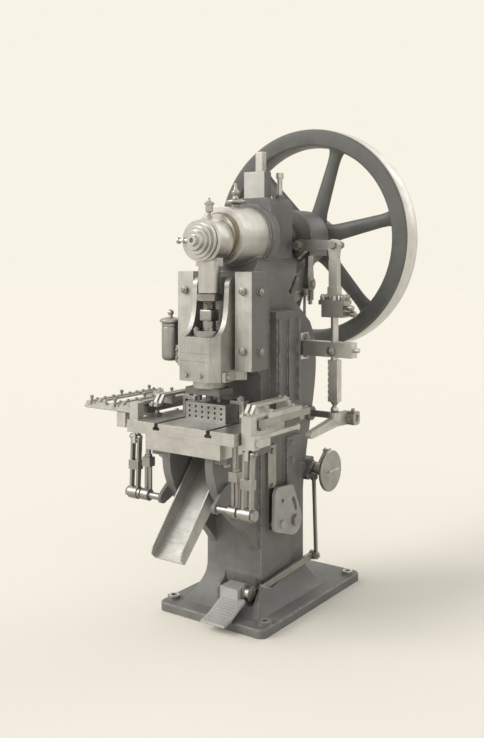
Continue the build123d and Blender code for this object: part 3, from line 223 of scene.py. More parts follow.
class Shader:
    """Places nodes in a material or a group and joins their sockets."""

    def __init__(self, tree):
        self.tree = tree

    def add(self, kind, settings=None, **inputs):
        node = self.tree.nodes.new(kind)
        for key, value in (settings or {}).items():
            setattr(node, key, value)
        for key, value in inputs.items():
            self.put(node.inputs[key.replace("_", " ")], value)
        return node

    def put(self, socket, value):
        if isinstance(value, bpy.types.NodeSocket):
            self.tree.links.new(value, socket)
        else:
            socket.default_value = value

    def math(self, operation, first, second=0.0, clamp=False):
        node = self.add("ShaderNodeMath", {"operation": operation, "use_clamp": clamp})
        self.put(node.inputs[0], first)
        self.put(node.inputs[1], second)
        return node.outputs[0]

    def vector(self, operation, first, second=(0, 0, 0)):
        node = self.add("ShaderNodeVectorMath", {"operation": operation})
        self.put(node.inputs[0], first)
        self.put(node.inputs[1], second)
        return node.outputs["Value" if operation in ("LENGTH", "DOT_PRODUCT") else "Vector"]

    def mix(self, factor, first, second):
        """Mixes two colours. The mixing node keeps its colours in sockets of their own."""
        node = self.add("ShaderNodeMix", {"data_type": "RGBA"})
        self.put(node.inputs[0], factor)
        self.put(node.inputs[first_colour], first)
        self.put(node.inputs[second_colour], second)
        return node.outputs[mixed_colour]

    def span(self, value, low, high, start=0.0, end=1.0):
        """A smooth step from start to end while the value goes from low to high."""
        node = self.add("ShaderNodeMapRange", {"interpolation_type": "SMOOTHSTEP"})
        for index, number in enumerate((value, low, high, start, end)):
            self.put(node.inputs[index], number)
        return node.outputs[0]

    def noise(self, place, scale, detail, roughness):
        node = self.add("ShaderNodeTexNoise", Vector=place, Scale=scale, Detail=detail, Roughness=roughness)
        return node.outputs[0]

    def place(self):
        """The place on a solid or a piece, in metres in the shared frame."""
        return self.add("ShaderNodeTexCoord").outputs["Object"]

    def blend(self, first, share, second, other_share):
        """The sum of two values, each by its share."""
        first = self.math("MULTIPLY", first, share)
        return self.math("ADD", first, self.math("MULTIPLY", second, other_share))


def new_group(name, inputs, outputs):
    """An empty node group, with what fills it, what it is given and what it puts out."""
    group = bpy.data.node_groups.new(name, "ShaderNodeTree")
    for label, kind, value in inputs:
        socket = group.interface.new_socket(label, in_out="INPUT", socket_type=kind)
        socket.default_value = value
    for label, kind in outputs:
        group.interface.new_socket(label, in_out="OUTPUT", socket_type=kind)
    shader = Shader(group)
    entry = shader.add("NodeGroupInput")
    leave = shader.add("NodeGroupOutput")
    return group, shader, entry.outputs, leave.inputs


def edge_wear_group():
    """A mask that is 1 on corners and fades over the radius, broken up by noise."""
    group, shader, given, out = new_group(
        "edge wear",
        [("Radius", "NodeSocketFloat", 0.003), ("Amount", "NodeSocketFloat", 1.0)],
        [("Mask", "NodeSocketFloat")],
    )
    rounded = shader.add("ShaderNodeBevel", {"samples": corner_samples}, Radius=given["Radius"])
    plain = shader.add("ShaderNodeNewGeometry").outputs["Normal"]
    turn = shader.vector("DOT_PRODUCT", rounded.outputs[0], plain)
    corner = shader.span(turn, *wear_on_corners)
    patches = shader.span(shader.noise(shader.place(), *wear_patches), *wear_in_patches)
    rubbed = shader.math("MULTIPLY", corner, patches)
    shader.put(out["Mask"], shader.math("MULTIPLY", rubbed, given["Amount"], clamp=True))
    return group


def grain_group():
    """Cast skin: slow mottling and stains for the colour, and a fine sandy height."""
    group, shader, _, out = new_group(
        "cast grain", [],
        [("Mottle", "NodeSocketFloat"), ("Height", "NodeSocketFloat"), ("Stain", "NodeSocketFloat")],
    )
    place = shader.place()
    sand = shader.noise(place, *casting_sand)
    lumps = shader.noise(place, *casting_lumps)
    stains = shader.noise(shader.vector("MULTIPLY", place, stain_stretch), *paint_stains)
    shader.put(out["Mottle"], shader.span(shader.noise(place, *paint_mottle), *mottle_span))
    shader.put(out["Height"], shader.blend(sand, sand_share, lumps, lump_share))
    shader.put(out["Stain"], shader.span(stains, *stain_span))
    return group


def tool_mark_group():
    """Straight planing marks: noise drawn out along one direction."""
    group, shader, given, out = new_group(
        "tool marks",
        [("Stretch", "NodeSocketVector", along_y)],
        [("Height", "NodeSocketFloat"), ("Tone", "NodeSocketFloat")],
    )
    place = shader.place()
    lines = shader.noise(shader.vector("MULTIPLY", place, given["Stretch"]), *planing_lines)
    cloud = shader.noise(place, *planing_clouds)
    both = shader.blend(lines, line_share, cloud, plane_cloud_share)
    shader.put(out["Height"], lines)
    shader.put(out["Tone"], shader.span(both, *mark_span))
    return group


def lathe_mark_group():
    """Rings from turning, about a line through Centre. Plane is 0 along that line."""
    group, shader, given, out = new_group(
        "lathe marks",
        [("Centre", "NodeSocketVector", (0.0, 0.0, 0.0)), ("Plane", "NodeSocketVector", about_y)],
        [("Height", "NodeSocketFloat"), ("Tone", "NodeSocketFloat")],
    )
    place = shader.place()
    offset = shader.vector("SUBTRACT", place, given["Centre"])
    across = shader.vector("MULTIPLY", offset, given["Plane"])
    radius = shader.vector("LENGTH", across)
    line = shader.vector("SUBTRACT", offset, across)
    along = shader.vector("DOT_PRODUCT", line, (1.0, 1.0, 1.0))
    spot = shader.add("ShaderNodeCombineXYZ", X=radius, Y=along).outputs[0]
    rings = shader.noise(shader.vector("MULTIPLY", spot, ring_stretch), *turning_rings)
    cloud = shader.noise(place, *turning_clouds)
    both = shader.blend(rings, ring_share, cloud, turn_cloud_share)
    shader.put(out["Height"], rings)
    shader.put(out["Tone"], shader.span(both, *mark_span))
    return group


def settled_grime_and_shade_group():
    """Dust that settles on upward faces, and a dark greasy film where faces look down, which is partly shade
    put into the colour.
    """
    group, shader, given, out = new_group(
        "settled grime and shade", [("Amount", "NodeSocketFloat", 1.0)],
        [("Dust", "NodeSocketFloat"), ("Grease and shade", "NodeSocketFloat")],
    )
    normal = shader.add("ShaderNodeNewGeometry").outputs["Normal"]
    slope = shader.add("ShaderNodeSeparateXYZ", Vector=normal).outputs["Z"]
    cloud = shader.noise(shader.place(), *grime_and_shade_patches)
    dust = shader.math(
        "MULTIPLY", shader.span(slope, *dust_on_slopes), shader.span(cloud, *dust_in_patches))
    # Darker where faces look down: greasy dirt, and partly painted shade
    grease_and_shade = shader.math(
        "MULTIPLY", shader.span(slope, *grease_and_shade_on_slopes), shader.span(cloud, *grease_and_shade_in_patches))
    shader.put(out["Dust"], shader.math("MULTIPLY", dust, given["Amount"], clamp=True))
    shader.put(out["Grease and shade"], shader.math("MULTIPLY", grease_and_shade, given["Amount"], clamp=True))
    return group


edge_wear = edge_wear_group()
cast_grain = grain_group()
tool_marks = tool_mark_group()
lathe_marks = lathe_mark_group()
settled_grime_and_shade = settled_grime_and_shade_group()


def start_material(name):
    """A material, what fills it, and its surface node."""
    material = bpy.data.materials.new(name)
    material.use_nodes = True
    shader = Shader(material.node_tree)
    return material, shader, material.node_tree.nodes["Principled BSDF"]


def use_group(shader, group, **inputs):
    """Places a group in a material and gives its outputs."""
    return shader.add("ShaderNodeGroup", {"node_tree": group}, **inputs).outputs


def bump(shader, height, distance, corner):
    """A bumped normal on corners that are rounded by the corner's radius."""
    rounded = shader.add("ShaderNodeBevel", {"samples": corner_samples}, Radius=corner)
    bumped = shader.add("ShaderNodeBump", Height=height, Distance=distance, Normal=rounded.outputs[0])
    return bumped.outputs[0]


def ring_mask(shader, radius):
    """1 outside a radius about the crank line, for faces that were turned after painting."""
    offset = shader.vector("SUBTRACT", shader.place(), (0, 0, shaft_height))
    distance = shader.vector("LENGTH", shader.vector("MULTIPLY", offset, about_y))
    return shader.span(distance, radius - mask_softness, radius + mask_softness)


def between(shader, axis, low, high):
    """1 between two places along an axis, and 0 past them."""
    value = shader.add("ShaderNodeSeparateXYZ", Vector=shader.place()).outputs[axis]
    above = shader.math("GREATER_THAN", value, low)
    return shader.math("MULTIPLY", above, shader.math("LESS_THAN", value, high))


def turned_rim(shader):
    """The face of the wheel's rim, turned bright."""
    return ring_mask(shader, rim_face_radius)


def machined_head_and_highlight(shader):
    """The turned housing barrel, and the planed front of the box that holds the locking bar, made bright
    while the box's sides stay dark, partly as a highlight put into its colour.
    """
    inside = shader.math("SUBTRACT", 1.0, ring_mask(shader, barrel_radius))
    barrel = shader.math("MULTIPLY", inside, between(shader, "Y", *barrel_ends))
    width = between(shader, "X", -box_half_width, box_half_width)
    box = shader.math("MULTIPLY", width, between(shader, "Z", *box_heights))
    box = shader.math("MULTIPLY", box, between(shader, "Y", *box_front))
    return shader.math("MAXIMUM", barrel, shader.math("MULTIPLY", box, box_brightness))


def guide_sides_paint_and_shade(shader):
    """The outer sides of the two guides, in the press's paint and darker than the fronts, partly as shade
    put into their colour.
    """
    inner, outer = guide_side_band
    return shader.math("MAXIMUM", between(shader, "X", -outer, -inner), between(shader, "X", inner, outer))


def shade(colour, share):
    """A colour made darker or lighter, as a socket takes it."""
    return tuple(share * part for part in colour) + (1,)


def cast_paint(name, colour, corner=0.005, sand=0.0006, bare_and_highlight=None):
    """Painted casting: mottled paint over a sandy skin, rubbed to metal at the corners."""
    material, shader, surface = start_material(name)
    grain = use_group(shader, cast_grain)
    worn = use_group(shader, edge_wear, Radius=corner, Amount=paint_wear)["Mask"]
    grime_and_shade = use_group(shader, settled_grime_and_shade, Amount=paint_dirt)
    paint = shader.mix(grain["Mottle"], *(shade(colour, share) for share in paint_shades))
    paint = shader.mix(shader.math("MULTIPLY", grain["Stain"], stain_strength), paint, stain_colour)
    paint = shader.mix(shader.math("MULTIPLY", grime_and_shade["Dust"], dust_strength), paint, dust_colour)
    paint = shader.mix(worn, paint, rubbed_metal)
    rough = shader.span(grain["Mottle"], 0.0, 1.0, *paint_roughness)
    metal = shader.math("MULTIPLY", worn, worn_metallic)
    height = grain["Height"]
    # The zone is made bright metal: the turned rim and barrel, and the box's front, which is partly a
    # painted highlight
    if bare_and_highlight:
        zone = bare_and_highlight(shader)
        lines = use_group(shader, lathe_marks, Centre=(0, 0, shaft_height), Plane=about_y)
        paint = shader.mix(zone, paint, shader.mix(lines["Tone"], turned_dark, turned_light))
        rough = shader.math("SUBTRACT", rough, shader.math("MULTIPLY", zone, bare_roughness_drop))
        metal = shader.math("MAXIMUM", metal, zone)
        sandy = shader.math("SUBTRACT", 1.0, shader.math("MULTIPLY", zone, bare_smoothness))
        height = shader.math("MULTIPLY", height, sandy)
    shader.put(surface.inputs["Base Color"], paint)
    shader.put(surface.inputs["Roughness"], rough)
    shader.put(surface.inputs["Metallic"], metal)
    shader.put(surface.inputs["Normal"], bump(shader, height, sand, corner))
    return material


def steel(name, colour, marks, roughness=0.33, corner=0.0012, paint_and_shade=None):
    """Machined metal with its tool marks. A zone in the press's paint can be given as a mask; on the guides'
    sides it is partly shade put into the colour.
    """
    material, shader, surface = start_material(name)
    lines = marks(shader)
    worn = use_group(shader, edge_wear, Radius=corner, Amount=steel_wear)["Mask"]
    grime_and_shade = use_group(shader, settled_grime_and_shade, Amount=steel_grime_and_shade)
    dull, plain, rubbed = (shade(colour, share) for share in steel_shades)
    metal = shader.mix(lines["Tone"], dull, plain)
    # Faces that look down are darkened: greasy dirt, and partly painted shade
    metal = shader.mix(shader.math("MULTIPLY", grime_and_shade["Grease and shade"], grease_and_shade_strength), metal, grease_and_shade_colour)
    # The zone takes the press's paint; on the guides' sides it is partly painted shade
    if paint_and_shade:
        zone = paint_and_shade(shader)
        metal = shader.mix(zone, metal, shade(iron_grey, 1))
        shader.put(surface.inputs["Metallic"], shader.math("SUBTRACT", 1.0, zone))
    else:
        surface.inputs["Metallic"].default_value = 1.0
    rough = shader.span(lines["Tone"], 0.0, 1.0, roughness + mark_roughness, roughness)
    shader.put(surface.inputs["Base Color"], shader.mix(worn, metal, rubbed))
    shader.put(surface.inputs["Roughness"], rough)
    shader.put(surface.inputs["Normal"], bump(shader, lines["Height"], mark_depth, corner))
    return material


def planed(stretch):
    """What puts planing marks in a material."""
    return lambda shader: use_group(shader, tool_marks, Stretch=stretch)


def turned(centre, plane):
    """What puts turning marks in a material."""
    return lambda shader: use_group(shader, lathe_marks, Centre=centre, Plane=plane)


crank_turned = turned((0, 0, shaft_height), about_y)
strap_turned = turned((0, 0, pin_height), about_y)
screw_turned = turned((0, strap_middle, 0), about_z)

paints = {
    "press paint": dict(colour=iron_grey, bare_and_highlight=machined_head_and_highlight),
    "wheel paint": dict(colour=wheel_grey, bare_and_highlight=turned_rim),
    "pedal iron": dict(colour=pedal_grey, corner=0.003, sand=0.0004),
}

steels = {
    "bright planed along z": dict(colour=bright_grey, marks=planed(along_z)),
    "bright planed along x": dict(colour=bright_grey, marks=planed(along_x)),
    "bright planed along y": dict(colour=bright_grey, marks=planed(along_y), roughness=0.58),
    "slide planed along z": dict(colour=slide_grey, marks=planed(along_z), roughness=0.48),
    # The guides' sides are dark in the press's paint, partly as painted shade
    "guide planed along z": dict(
        colour=guide_grey, marks=planed(along_z), roughness=0.48, paint_and_shade=guide_sides_paint_and_shade),
    "steel drawn along z": dict(colour=steel_grey, marks=planed(along_z)),
    "steel drawn along y": dict(colour=steel_grey, marks=planed(along_y)),
    "crank turned": dict(colour=bright_grey, marks=crank_turned),
    "strap turned": dict(colour=bright_grey, marks=strap_turned, roughness=0.28),
    "screw turned": dict(colour=steel_grey, marks=screw_turned),
    "tool steel": dict(colour=tool_grey, marks=planed(along_x), roughness=0.42),
    "ground die steel": dict(colour=die_grey, marks=planed(along_x), roughness=0.46),
    "bearing bronze": dict(colour=bronze, marks=crank_turned),
    "oiler metal": dict(colour=oiler_grey, marks=screw_turned),
    "bolt steel": dict(colour=bolt_grey, marks=planed(along_x), roughness=0.36, corner=0.0008),
    "spring steel": dict(colour=spring_grey, marks=planed(along_z), roughness=0.4),
    "chute sheet": dict(colour=sheet_grey, marks=planed(along_x), roughness=0.56),
}

finishes = {name: cast_paint(name, **how) for name, how in paints.items()}
finishes.update({name: steel(name, **how) for name, how in steels.items()})

# The solids of each finish. Those that aren't named are of steel drawn along z
common_finish = "steel drawn along z"
finish_solids = {
    "press paint": ("frame_casting",),
    "wheel paint": ("flywheel",),
    "pedal iron": ("treadle", "quadrant"),
    "bright planed along z": ("top_bar", "feed_rod"),
    "bright planed along x": ("guide_bracket", "table"),
    "bright planed along y": ("left_feed_slide", "right_feed_slide", "left_tray", "feed_lever"),
    "slide planed along z": ("ram",),
    "guide planed along z": ("left_gib", "right_gib"),
    "steel drawn along y": ("treadle_arm", "left_rail", "right_rail"),
    "crank turned": ("crankshaft", "tail_collar"),
    "strap turned": ("strap", "nose_rings", "crank_pin"),
    "screw turned": ("ball_screw", "screw_nut", "ball_cap"),
    "tool steel": ("feed_cam", "punch_plate", "punches"),
    "ground die steel": ("die_block",),
    "bearing bronze": ("bushes",),
    "oiler metal": ("strap_oiler", "housing_oiler", "lubricator_cap"),
    "chute sheet": ("chute",),
}
solid_finish = {name: finish for finish, names in finish_solids.items() for name in names}


def dress_solids():
    """Puts a finish in the slot of every solid of the model."""
    for name, solid in solids.items():
        solid.data.materials.clear()
        solid.data.materials.append(finishes[solid_finish.get(name, common_finish)])


def place_shape(shape, at, axis=up):
    """Turns a shape so that its own Z lies along axis, and moves it to its place."""
    turn = Vector(axis).to_track_quat("Z", "Y").to_matrix().to_4x4()
    bmesh.ops.transform(shape, matrix=Matrix.Translation(at) @ turn, verts=shape.verts)
    return shape


def join(shape, *others):
    """Adds other shapes to the first one."""
    for other in others:
        carrier = bpy.data.meshes.new("carrier")
        other.to_mesh(carrier)
        shape.from_mesh(carrier)
        bpy.data.meshes.remove(carrier)
    return shape


def soften(shape, width, segments=2):
    """Bevels every sharp edge, as a file or a casting leaves it."""
    limit = radians(broken_angle)
    sharp = [e for e in shape.edges if len(e.link_faces) == 2 and e.calc_face_angle(0) > limit]
    bmesh.ops.bevel(
        shape, geom=sharp, offset=width, offset_type="OFFSET", affect="EDGES",
        segments=segments, profile=0.5, material=-1, clamp_overlap=True,
    )
    return shape


def turned_shape(outline, steps, edge=0.0):
    """A turned piece along Z from (height, radius) points, closed on its own line."""
    shape = bmesh.new()
    points = [shape.verts.new((radius, 0, height)) for height, radius in outline]
    lines = [shape.edges.new(pair) for pair in zip(points, points[1:])]
    bmesh.ops.spin(
        shape, geom=points + lines, cent=(0, 0, 0), axis=up, angle=2 * pi,
        steps=steps, use_merge=True,
    )
    bmesh.ops.remove_doubles(shape, verts=shape.verts, dist=weld)
    bmesh.ops.recalc_face_normals(shape, faces=shape.faces)
    return soften(shape, edge) if edge else shape


def ring_shape(outline, steps, edge):
    """A turned ring from a closed outline of (height, radius) points."""
    return turned_shape(list(outline) + [outline[0]], steps, edge)


def plate_shape(outline, thickness, edge, segments=2):
    """A plate cut to an outline in XY and standing up by its thickness."""
    shape = bmesh.new()
    corners = [shape.verts.new((u, v, 0)) for u, v in outline]
    sheet = shape.faces.new(corners)
    grown = bmesh.ops.extrude_face_region(shape, geom=[sheet])
    top = [v for v in grown["geom"] if isinstance(v, bmesh.types.BMVert)]
    bmesh.ops.translate(shape, verts=top, vec=(0, 0, thickness))
    bmesh.ops.recalc_face_normals(shape, faces=shape.faces)
    return soften(shape, edge, segments)


def bar_shape(low, high, edge, segments=2):
    """A squared bar between two corners, with its edges broken."""
    outline = ((low[0], low[1]), (high[0], low[1]), (high[0], high[1]), (low[0], high[1]))
    shape = plate_shape(outline, high[2] - low[2], edge, segments)
    bmesh.ops.translate(shape, verts=shape.verts, vec=(0, 0, low[2]))
    return shape


def flat_cut(shape, at, normal):
    """Cuts away what stands past a plane and closes the cut."""
    whole = shape.verts[:] + shape.edges[:] + shape.faces[:]
    cut = bmesh.ops.bisect_plane(shape, geom=whole, plane_co=at, plane_no=normal, clear_outer=True)
    rim = [e for e in cut["geom_cut"] if isinstance(e, bmesh.types.BMEdge)]
    bmesh.ops.holes_fill(shape, edges=rim, sides=0)


def hexagon_head(across, height):
    """A hexagon as it is made: a turned blank with a chamfer, then six flats milled."""
    corner = across / 2 / cos(pi / 6) * blank_margin
    face = across * top_face
    fall = (corner - face) * chamfer_slope
    outline = [(0, 0), (0, corner), (height - fall, corner), (height, face), (height, 0)]
    blank = turned_shape(outline, bolt_steps)
    for side in range(6):
        normal = Vector((cos(side * pi / 3), sin(side * pi / 3), 0))
        flat_cut(blank, normal * across / 2, normal)
    return blank


def hexagon_bolt(thread, across=None):
    """Washer, hexagon and the rounded end of the thread, standing on Z = 0."""
    across = across or thread * bolt_across
    thick, wide = thread * washer_thickness, across * washer_radius
    washer = turned_shape([(0, 0), (0, wide), (thick, wide), (thick, 0)], bolt_steps, edge=0.4)
    head = place_shape(hexagon_head(across, thread * head_height), (0, 0, thread * head_foot))
    top, end, radius = thread * tip_foot, thread * tip_rise, thread * tip_radius
    tip = turned_shape([
        (top - 1, 0), (top - 1, radius), (top + end * tip_shoulder, radius),
        (top + end, thread * tip_face), (top + end * tip_crown, 0),
    ], tip_steps)
    return join(washer, head, tip)


def thumb_screw(size):
    """A small thumb screw with a thick, rounded head."""
    outline = [(size * height, size * radius) for height, radius in thumb_screw_outline]
    return turned_shape(outline, tip_steps)


def threaded_outline(start, end, radius, pitch):
    """Thread crests and roots along a line, for a turned piece."""
    half = pitch / 2
    points = []
    height = start
    while height + pitch <= end:
        points += [(height, radius - half), (height + half, radius)]
        height += pitch
    return points + [(end, radius - half)]


def coil_spring(wire, radius, height, turns):
    """A round wire wound about Z, with closed ends."""
    shape = bmesh.new()
    ring = bmesh.ops.create_circle(shape, segments=wire_sides, radius=wire / 2)["verts"]
    bmesh.ops.rotate(shape, verts=ring, cent=(0, 0, 0), matrix=Matrix.Rotation(pi / 2, 3, "X"))
    bmesh.ops.translate(shape, verts=ring, vec=(radius, 0, wire / 2))
    count = turns * steps_in_turn
    rise = (height - wire) / count
    bmesh.ops.spin(
        shape, geom=shape.verts[:] + shape.edges[:], cent=(0, 0, 0), axis=up,
        dvec=(0, 0, rise), angle=2 * pi * turns, steps=count,
    )
    open_ends = [e for e in shape.edges if e.is_boundary]
    bmesh.ops.holes_fill(shape, edges=open_ends, sides=0)
    bmesh.ops.recalc_face_normals(shape, faces=shape.faces)
    return shape


def copies(make, places):
    """The same fastener at many places; a place is its point and the way it faces."""
    whole = bmesh.new()
    for at, axis in places:
        join(whole, place_shape(make(), at, axis))
    return whole


def add_piece(name, shape, body, finish, replaces=()):
    """Brings a shape from millimetres to metres and hangs it on its body."""
    bmesh.ops.scale(shape, vec=(millimetre, millimetre, millimetre), verts=shape.verts)
    mesh = bpy.data.meshes.new(name)
    shape.to_mesh(mesh)
    shape.free()
    for face in mesh.polygons:
        face.use_smooth = True
    mesh.set_sharp_from_angle(angle=radians(sharp_angle))
    mesh.materials.append(finishes[finish])
    item = bpy.data.objects.new(name, mesh)
    bpy.context.collection.objects.link(item)
    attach(item, body)
    if replaces:
        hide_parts(*replaces)


# Flywheel, in millimetres. A step is how far in from a face it is, with its radius
wheel_radius = 490
rim_depth = 73
rim_front, rim_back = 340, 448
rim_middle = (rim_front + rim_back) / 2
rim_steps = ((0, wheel_radius - 12), (4, wheel_radius - 8), (6, wheel_radius - 2), (10, wheel_radius))
hub_front, hub_back = 342, 492
hub_steps = ((0, 47), (0, 74), (5, 78), (16, 80), (24, 88), (34, 92))
arm_count = 6
first_arm = 12
wheel_key = ((-11, hub_front + 30, shaft_z + 40), (11, hub_back + 4, shaft_z + 56))

# How far out a section of the arm is, with its half width and half height
arm_sections = (
    (76, 30, 58), (90, 26, 50), (104, 23.5, 43), (124, 22, 38.5), (150, 21.5, 36.5), (260, 20.5, 32),
    (350, 20, 29), (380, 20.5, 30.5), (398, 22.5, 34.5), (408, 26, 41), (416, 31, 51),
)


def stepped(steps, near, far):
    """The outline of a ring whose two faces have the same steps."""
    outline = [(near + inwards, radius) for inwards, radius in steps]
    return outline + [(far - inwards, radius) for inwards, radius in reversed(steps)]


def wheel_rim():
    """The rim, with a step at each edge and a rounded inside."""
    inner = wheel_radius - rim_depth
    inside = [
        (rim_back, inner + 4), (rim_back - 6, inner - 2), (rim_middle + 20, inner - 8),
        (rim_middle - 20, inner - 8), (rim_front + 6, inner - 2),
    ]
    outline = [(rim_front, inner + 4)] + stepped(rim_steps, rim_front, rim_back) + inside
    return place_shape(ring_shape(outline, steps=144, edge=1.2), (0, 0, shaft_z), back)


def wheel_hub():
    """The bored hub, with the same steps at both ends."""
    outline = stepped(hub_steps, hub_front, hub_back)
    return place_shape(ring_shape(outline, steps=72, edge=1.5), (0, 0, shaft_z), back)


def wheel_arm(angle):
    """An oval arm that spreads into the hub and into the rim."""
    arm = bmesh.new()
    ring = bmesh.ops.create_circle(arm, segments=arm_sides, radius=1)["verts"]
    bmesh.ops.rotate(arm, verts=ring, cent=(0, 0, 0), matrix=Matrix.Rotation(pi / 2, 3, "Y"))
    past, width, height = 0.0, 1.0, 1.0
    for reach, half_width, half_height in arm_sections:
        if past:
            loop = [e for e in arm.edges if all(v in ring for v in e.verts)]
            grown = bmesh.ops.extrude_edge_only(arm, edges=loop)["geom"]
            ring = [v for v in grown if isinstance(v, bmesh.types.BMVert)]
        bmesh.ops.scale(arm, vec=(1, half_width / width, half_height / height), verts=ring)
        bmesh.ops.translate(arm, verts=ring, vec=(reach - past, 0, 0))
        past, width, height = reach, half_width, half_height
    bmesh.ops.holes_fill(arm, edges=[e for e in arm.edges if e.is_boundary], sides=0)
    lean = Matrix.Rotation(-radians(angle), 3, "Y")
    bmesh.ops.rotate(arm, verts=arm.verts, cent=(0, 0, 0), matrix=lean)
    bmesh.ops.translate(arm, verts=arm.verts, vec=(0, rim_middle, shaft_z))
    bmesh.ops.recalc_face_normals(arm, faces=arm.faces)
    return arm


def add_flywheel():
    """The wheel as one casting, with the key that stands out of its hub."""
    arms = (wheel_arm(first_arm + 360 // arm_count * arm) for arm in range(arm_count))
    wheel = join(wheel_rim(), wheel_hub(), *arms)
    add_piece("flywheel_with_oval_arms", wheel, "wheel", "wheel paint", ["flywheel"])
    add_piece("wheel_key", bar_shape(*wheel_key, edge=1.0), "wheel", "steel drawn along y")


# Bolts of the guides, the rod guide and the feed lever, in millimetres
guide_bolt_heights = (1044, 1269)
guide_front_x, guide_front_y = 139, -346
guide_side_x, guide_side_y = 177, -296
guide_side_drop = 4
guide_thread, rod_guide_thread = 16, 15
rod_guide_bolts = ((148, 90, 1065.9), (148, 90, 997.9))
lever_stud = (312, 18, 1025.9)
lever_thread, lever_across = 18, 34

# Bolts of the table, the rails and the blank tray, in millimetres
table_bolt_x, table_bolt_z = 149, 651
table_bolt_ys = (-470, -300)
rail_seat_x, rail_seat_z = 221.5, 789
rail_seat_ys = (-422, -155)
tray_bars = (-393, -521)
tray_top = 819
tray_screw_ys = (-476, -300, -125)
table_thread, rail_seat_thread, tray_screw_size = 16, 11, 15

# Studs of the ball cap, in millimetres and degrees
cap_circle, cap_top = 49, 1119.3
cap_thread, cap_across = 12, 20
cap_turns = (45, 135, 225, 315)


def guide_bolt_places():
    for side in sides:
        for z in guide_bolt_heights:
            yield (side * guide_front_x, guide_front_y, z), front
            yield (side * guide_side_x, guide_side_y, z - guide_side_drop), (side, 0, 0)


def table_bolt_places():
    for side in sides:
        for y in table_bolt_ys:
            yield (side * table_bolt_x, y, table_bolt_z), down


def rail_seat_places():
    for side in sides:
        for y in rail_seat_ys:
            yield (side * rail_seat_x, y, rail_seat_z), up


def tray_screw_places():
    for x in tray_bars:
        for y in tray_screw_ys:
            yield (x, y, tray_top), up


def cap_stud_places():
    for turn in cap_turns:
        x, y = cap_circle * cos(radians(turn)), cap_circle * sin(radians(turn))
        yield (x, screw_line + y, cap_top), up


def add_bolts():
    """The bolt heads and nuts of the frame, the table and the ball cap."""
    guides = copies(lambda: hexagon_bolt(guide_thread), guide_bolt_places())
    rod_guide = copies(lambda: hexagon_bolt(rod_guide_thread), [(at, right) for at in rod_guide_bolts])
    lever = place_shape(hexagon_bolt(lever_thread, lever_across), lever_stud, front)
    add_piece("frame_bolt_heads", join(guides, rod_guide, lever), "frame", "bolt steel", ["frame_bolts"])
    under = copies(lambda: hexagon_bolt(table_thread), table_bolt_places())
    seats = copies(lambda: hexagon_bolt(rail_seat_thread), rail_seat_places())
    tray = copies(lambda: thumb_screw(tray_screw_size), tray_screw_places())
    add_piece("table_bolt_heads", join(under, seats, tray), "frame", "bolt steel", ["table_bolts"])
    studs = copies(lambda: hexagon_bolt(cap_thread, cap_across), cap_stud_places())
    add_piece("ball_cap_studs_and_nuts", studs, "slide", "bolt steel", ["ball_cap_nuts"])


# Ball screw, in millimetres
ball_outline = (
    (1027, 0), (1029, 10), (1035, 22), (1045, 32), (1056, 37), (1065, 38), (1074, 37), (1084, 33),
    (1092, 25.5), (1100, 25),
)
thread_start, thread_end = 1199, 1372
thread_radius, thread_pitch = 26, 8
square_start, square_half = 1155, 27
band_heights = (1166, 1188)
band_outline = ((0, 24), (0, 29.5), (3, 29.5), (3, 24))
lock_nut_start, lock_nut_across, lock_nut_height = 1232, 84, 28


def add_screw():
    """The ball ended screw: thread above, square for the spanner, and polished ball."""
    thread = threaded_outline(thread_start, thread_end, thread_radius, thread_pitch)
    outline = list(ball_outline) + [(thread_start, 25)] + thread + [(thread_end, 0)]
    screw = place_shape(turned_shape(outline, steps=48), (0, screw_line, 0))
    square = bar_shape(
        (-square_half, screw_line - square_half, square_start),
        (square_half, screw_line + square_half, thread_start), edge=5, segments=3,
    )
    places = [((0, screw_line, z), up) for z in band_heights]
    bands = copies(lambda: ring_shape(band_outline, steps=48, edge=0.5), places)
    add_piece("ball_screw_with_thread", join(screw, square, bands), "pitman", "screw turned", ["ball_screw"])
    nut = place_shape(hexagon_head(lock_nut_across, lock_nut_height), (0, screw_line, lock_nut_start))
    add_piece("lock_nut", nut, "pitman", "bolt steel", ["screw_nut"])


# Oil cup, oil pot with its bracket and cap, in millimetres
oil_cup_foot = (0, -203, 1597)
oil_cup_outline = (
    (0, 0), (0, 16), (8, 16), (10, 20), (14, 38), (20, 40), (25, 38), (29, 18), (34, 12), (44, 10.5),
    (50, 15), (56, 17), (62, 16), (68, 9), (76, 6), (90, 6.5), (94, 4), (95.5, 0),
)
pot_foot = (-228, -330, 985)
pot_outline = (
    (0, 0), (0, 17), (1, 23), (4, 29), (9, 33), (16, 35.3), (24, 35.8), (132, 35.8), (133.5, 34.6),
    (136, 34.6), (137.5, 36), (148, 36), (151, 34), (153, 30), (153, 0),
)
cap_foot = (-228, -330, 1138)
cap_outline = (
    (0, 0), (0, 43), (2, 44), (9, 44), (11, 42), (16, 34), (19, 20), (21, 9), (29, 8), (33, 12), (38, 13),
    (43, 12), (48, 8), (51, 3), (52, 0),
)
pot_bracket_outline = (
    (-206, 1050), (-207, 1004), (-203, 993), (-196, 983), (-187, 976), (-177, 972), (-177, 1050),
)
pot_bracket_back, pot_bracket_width = -318, 22
pot_bolt_x, pot_bolt_thread = -187, 7
pot_bolt_heights = (1000, 1030)


def add_oil_cup():
    shape = place_shape(turned_shape(oil_cup_outline, steps=48, edge=0.5), oil_cup_foot)
    add_piece("housing_oil_cup", shape, "frame", "oiler metal", ["housing_oiler"])


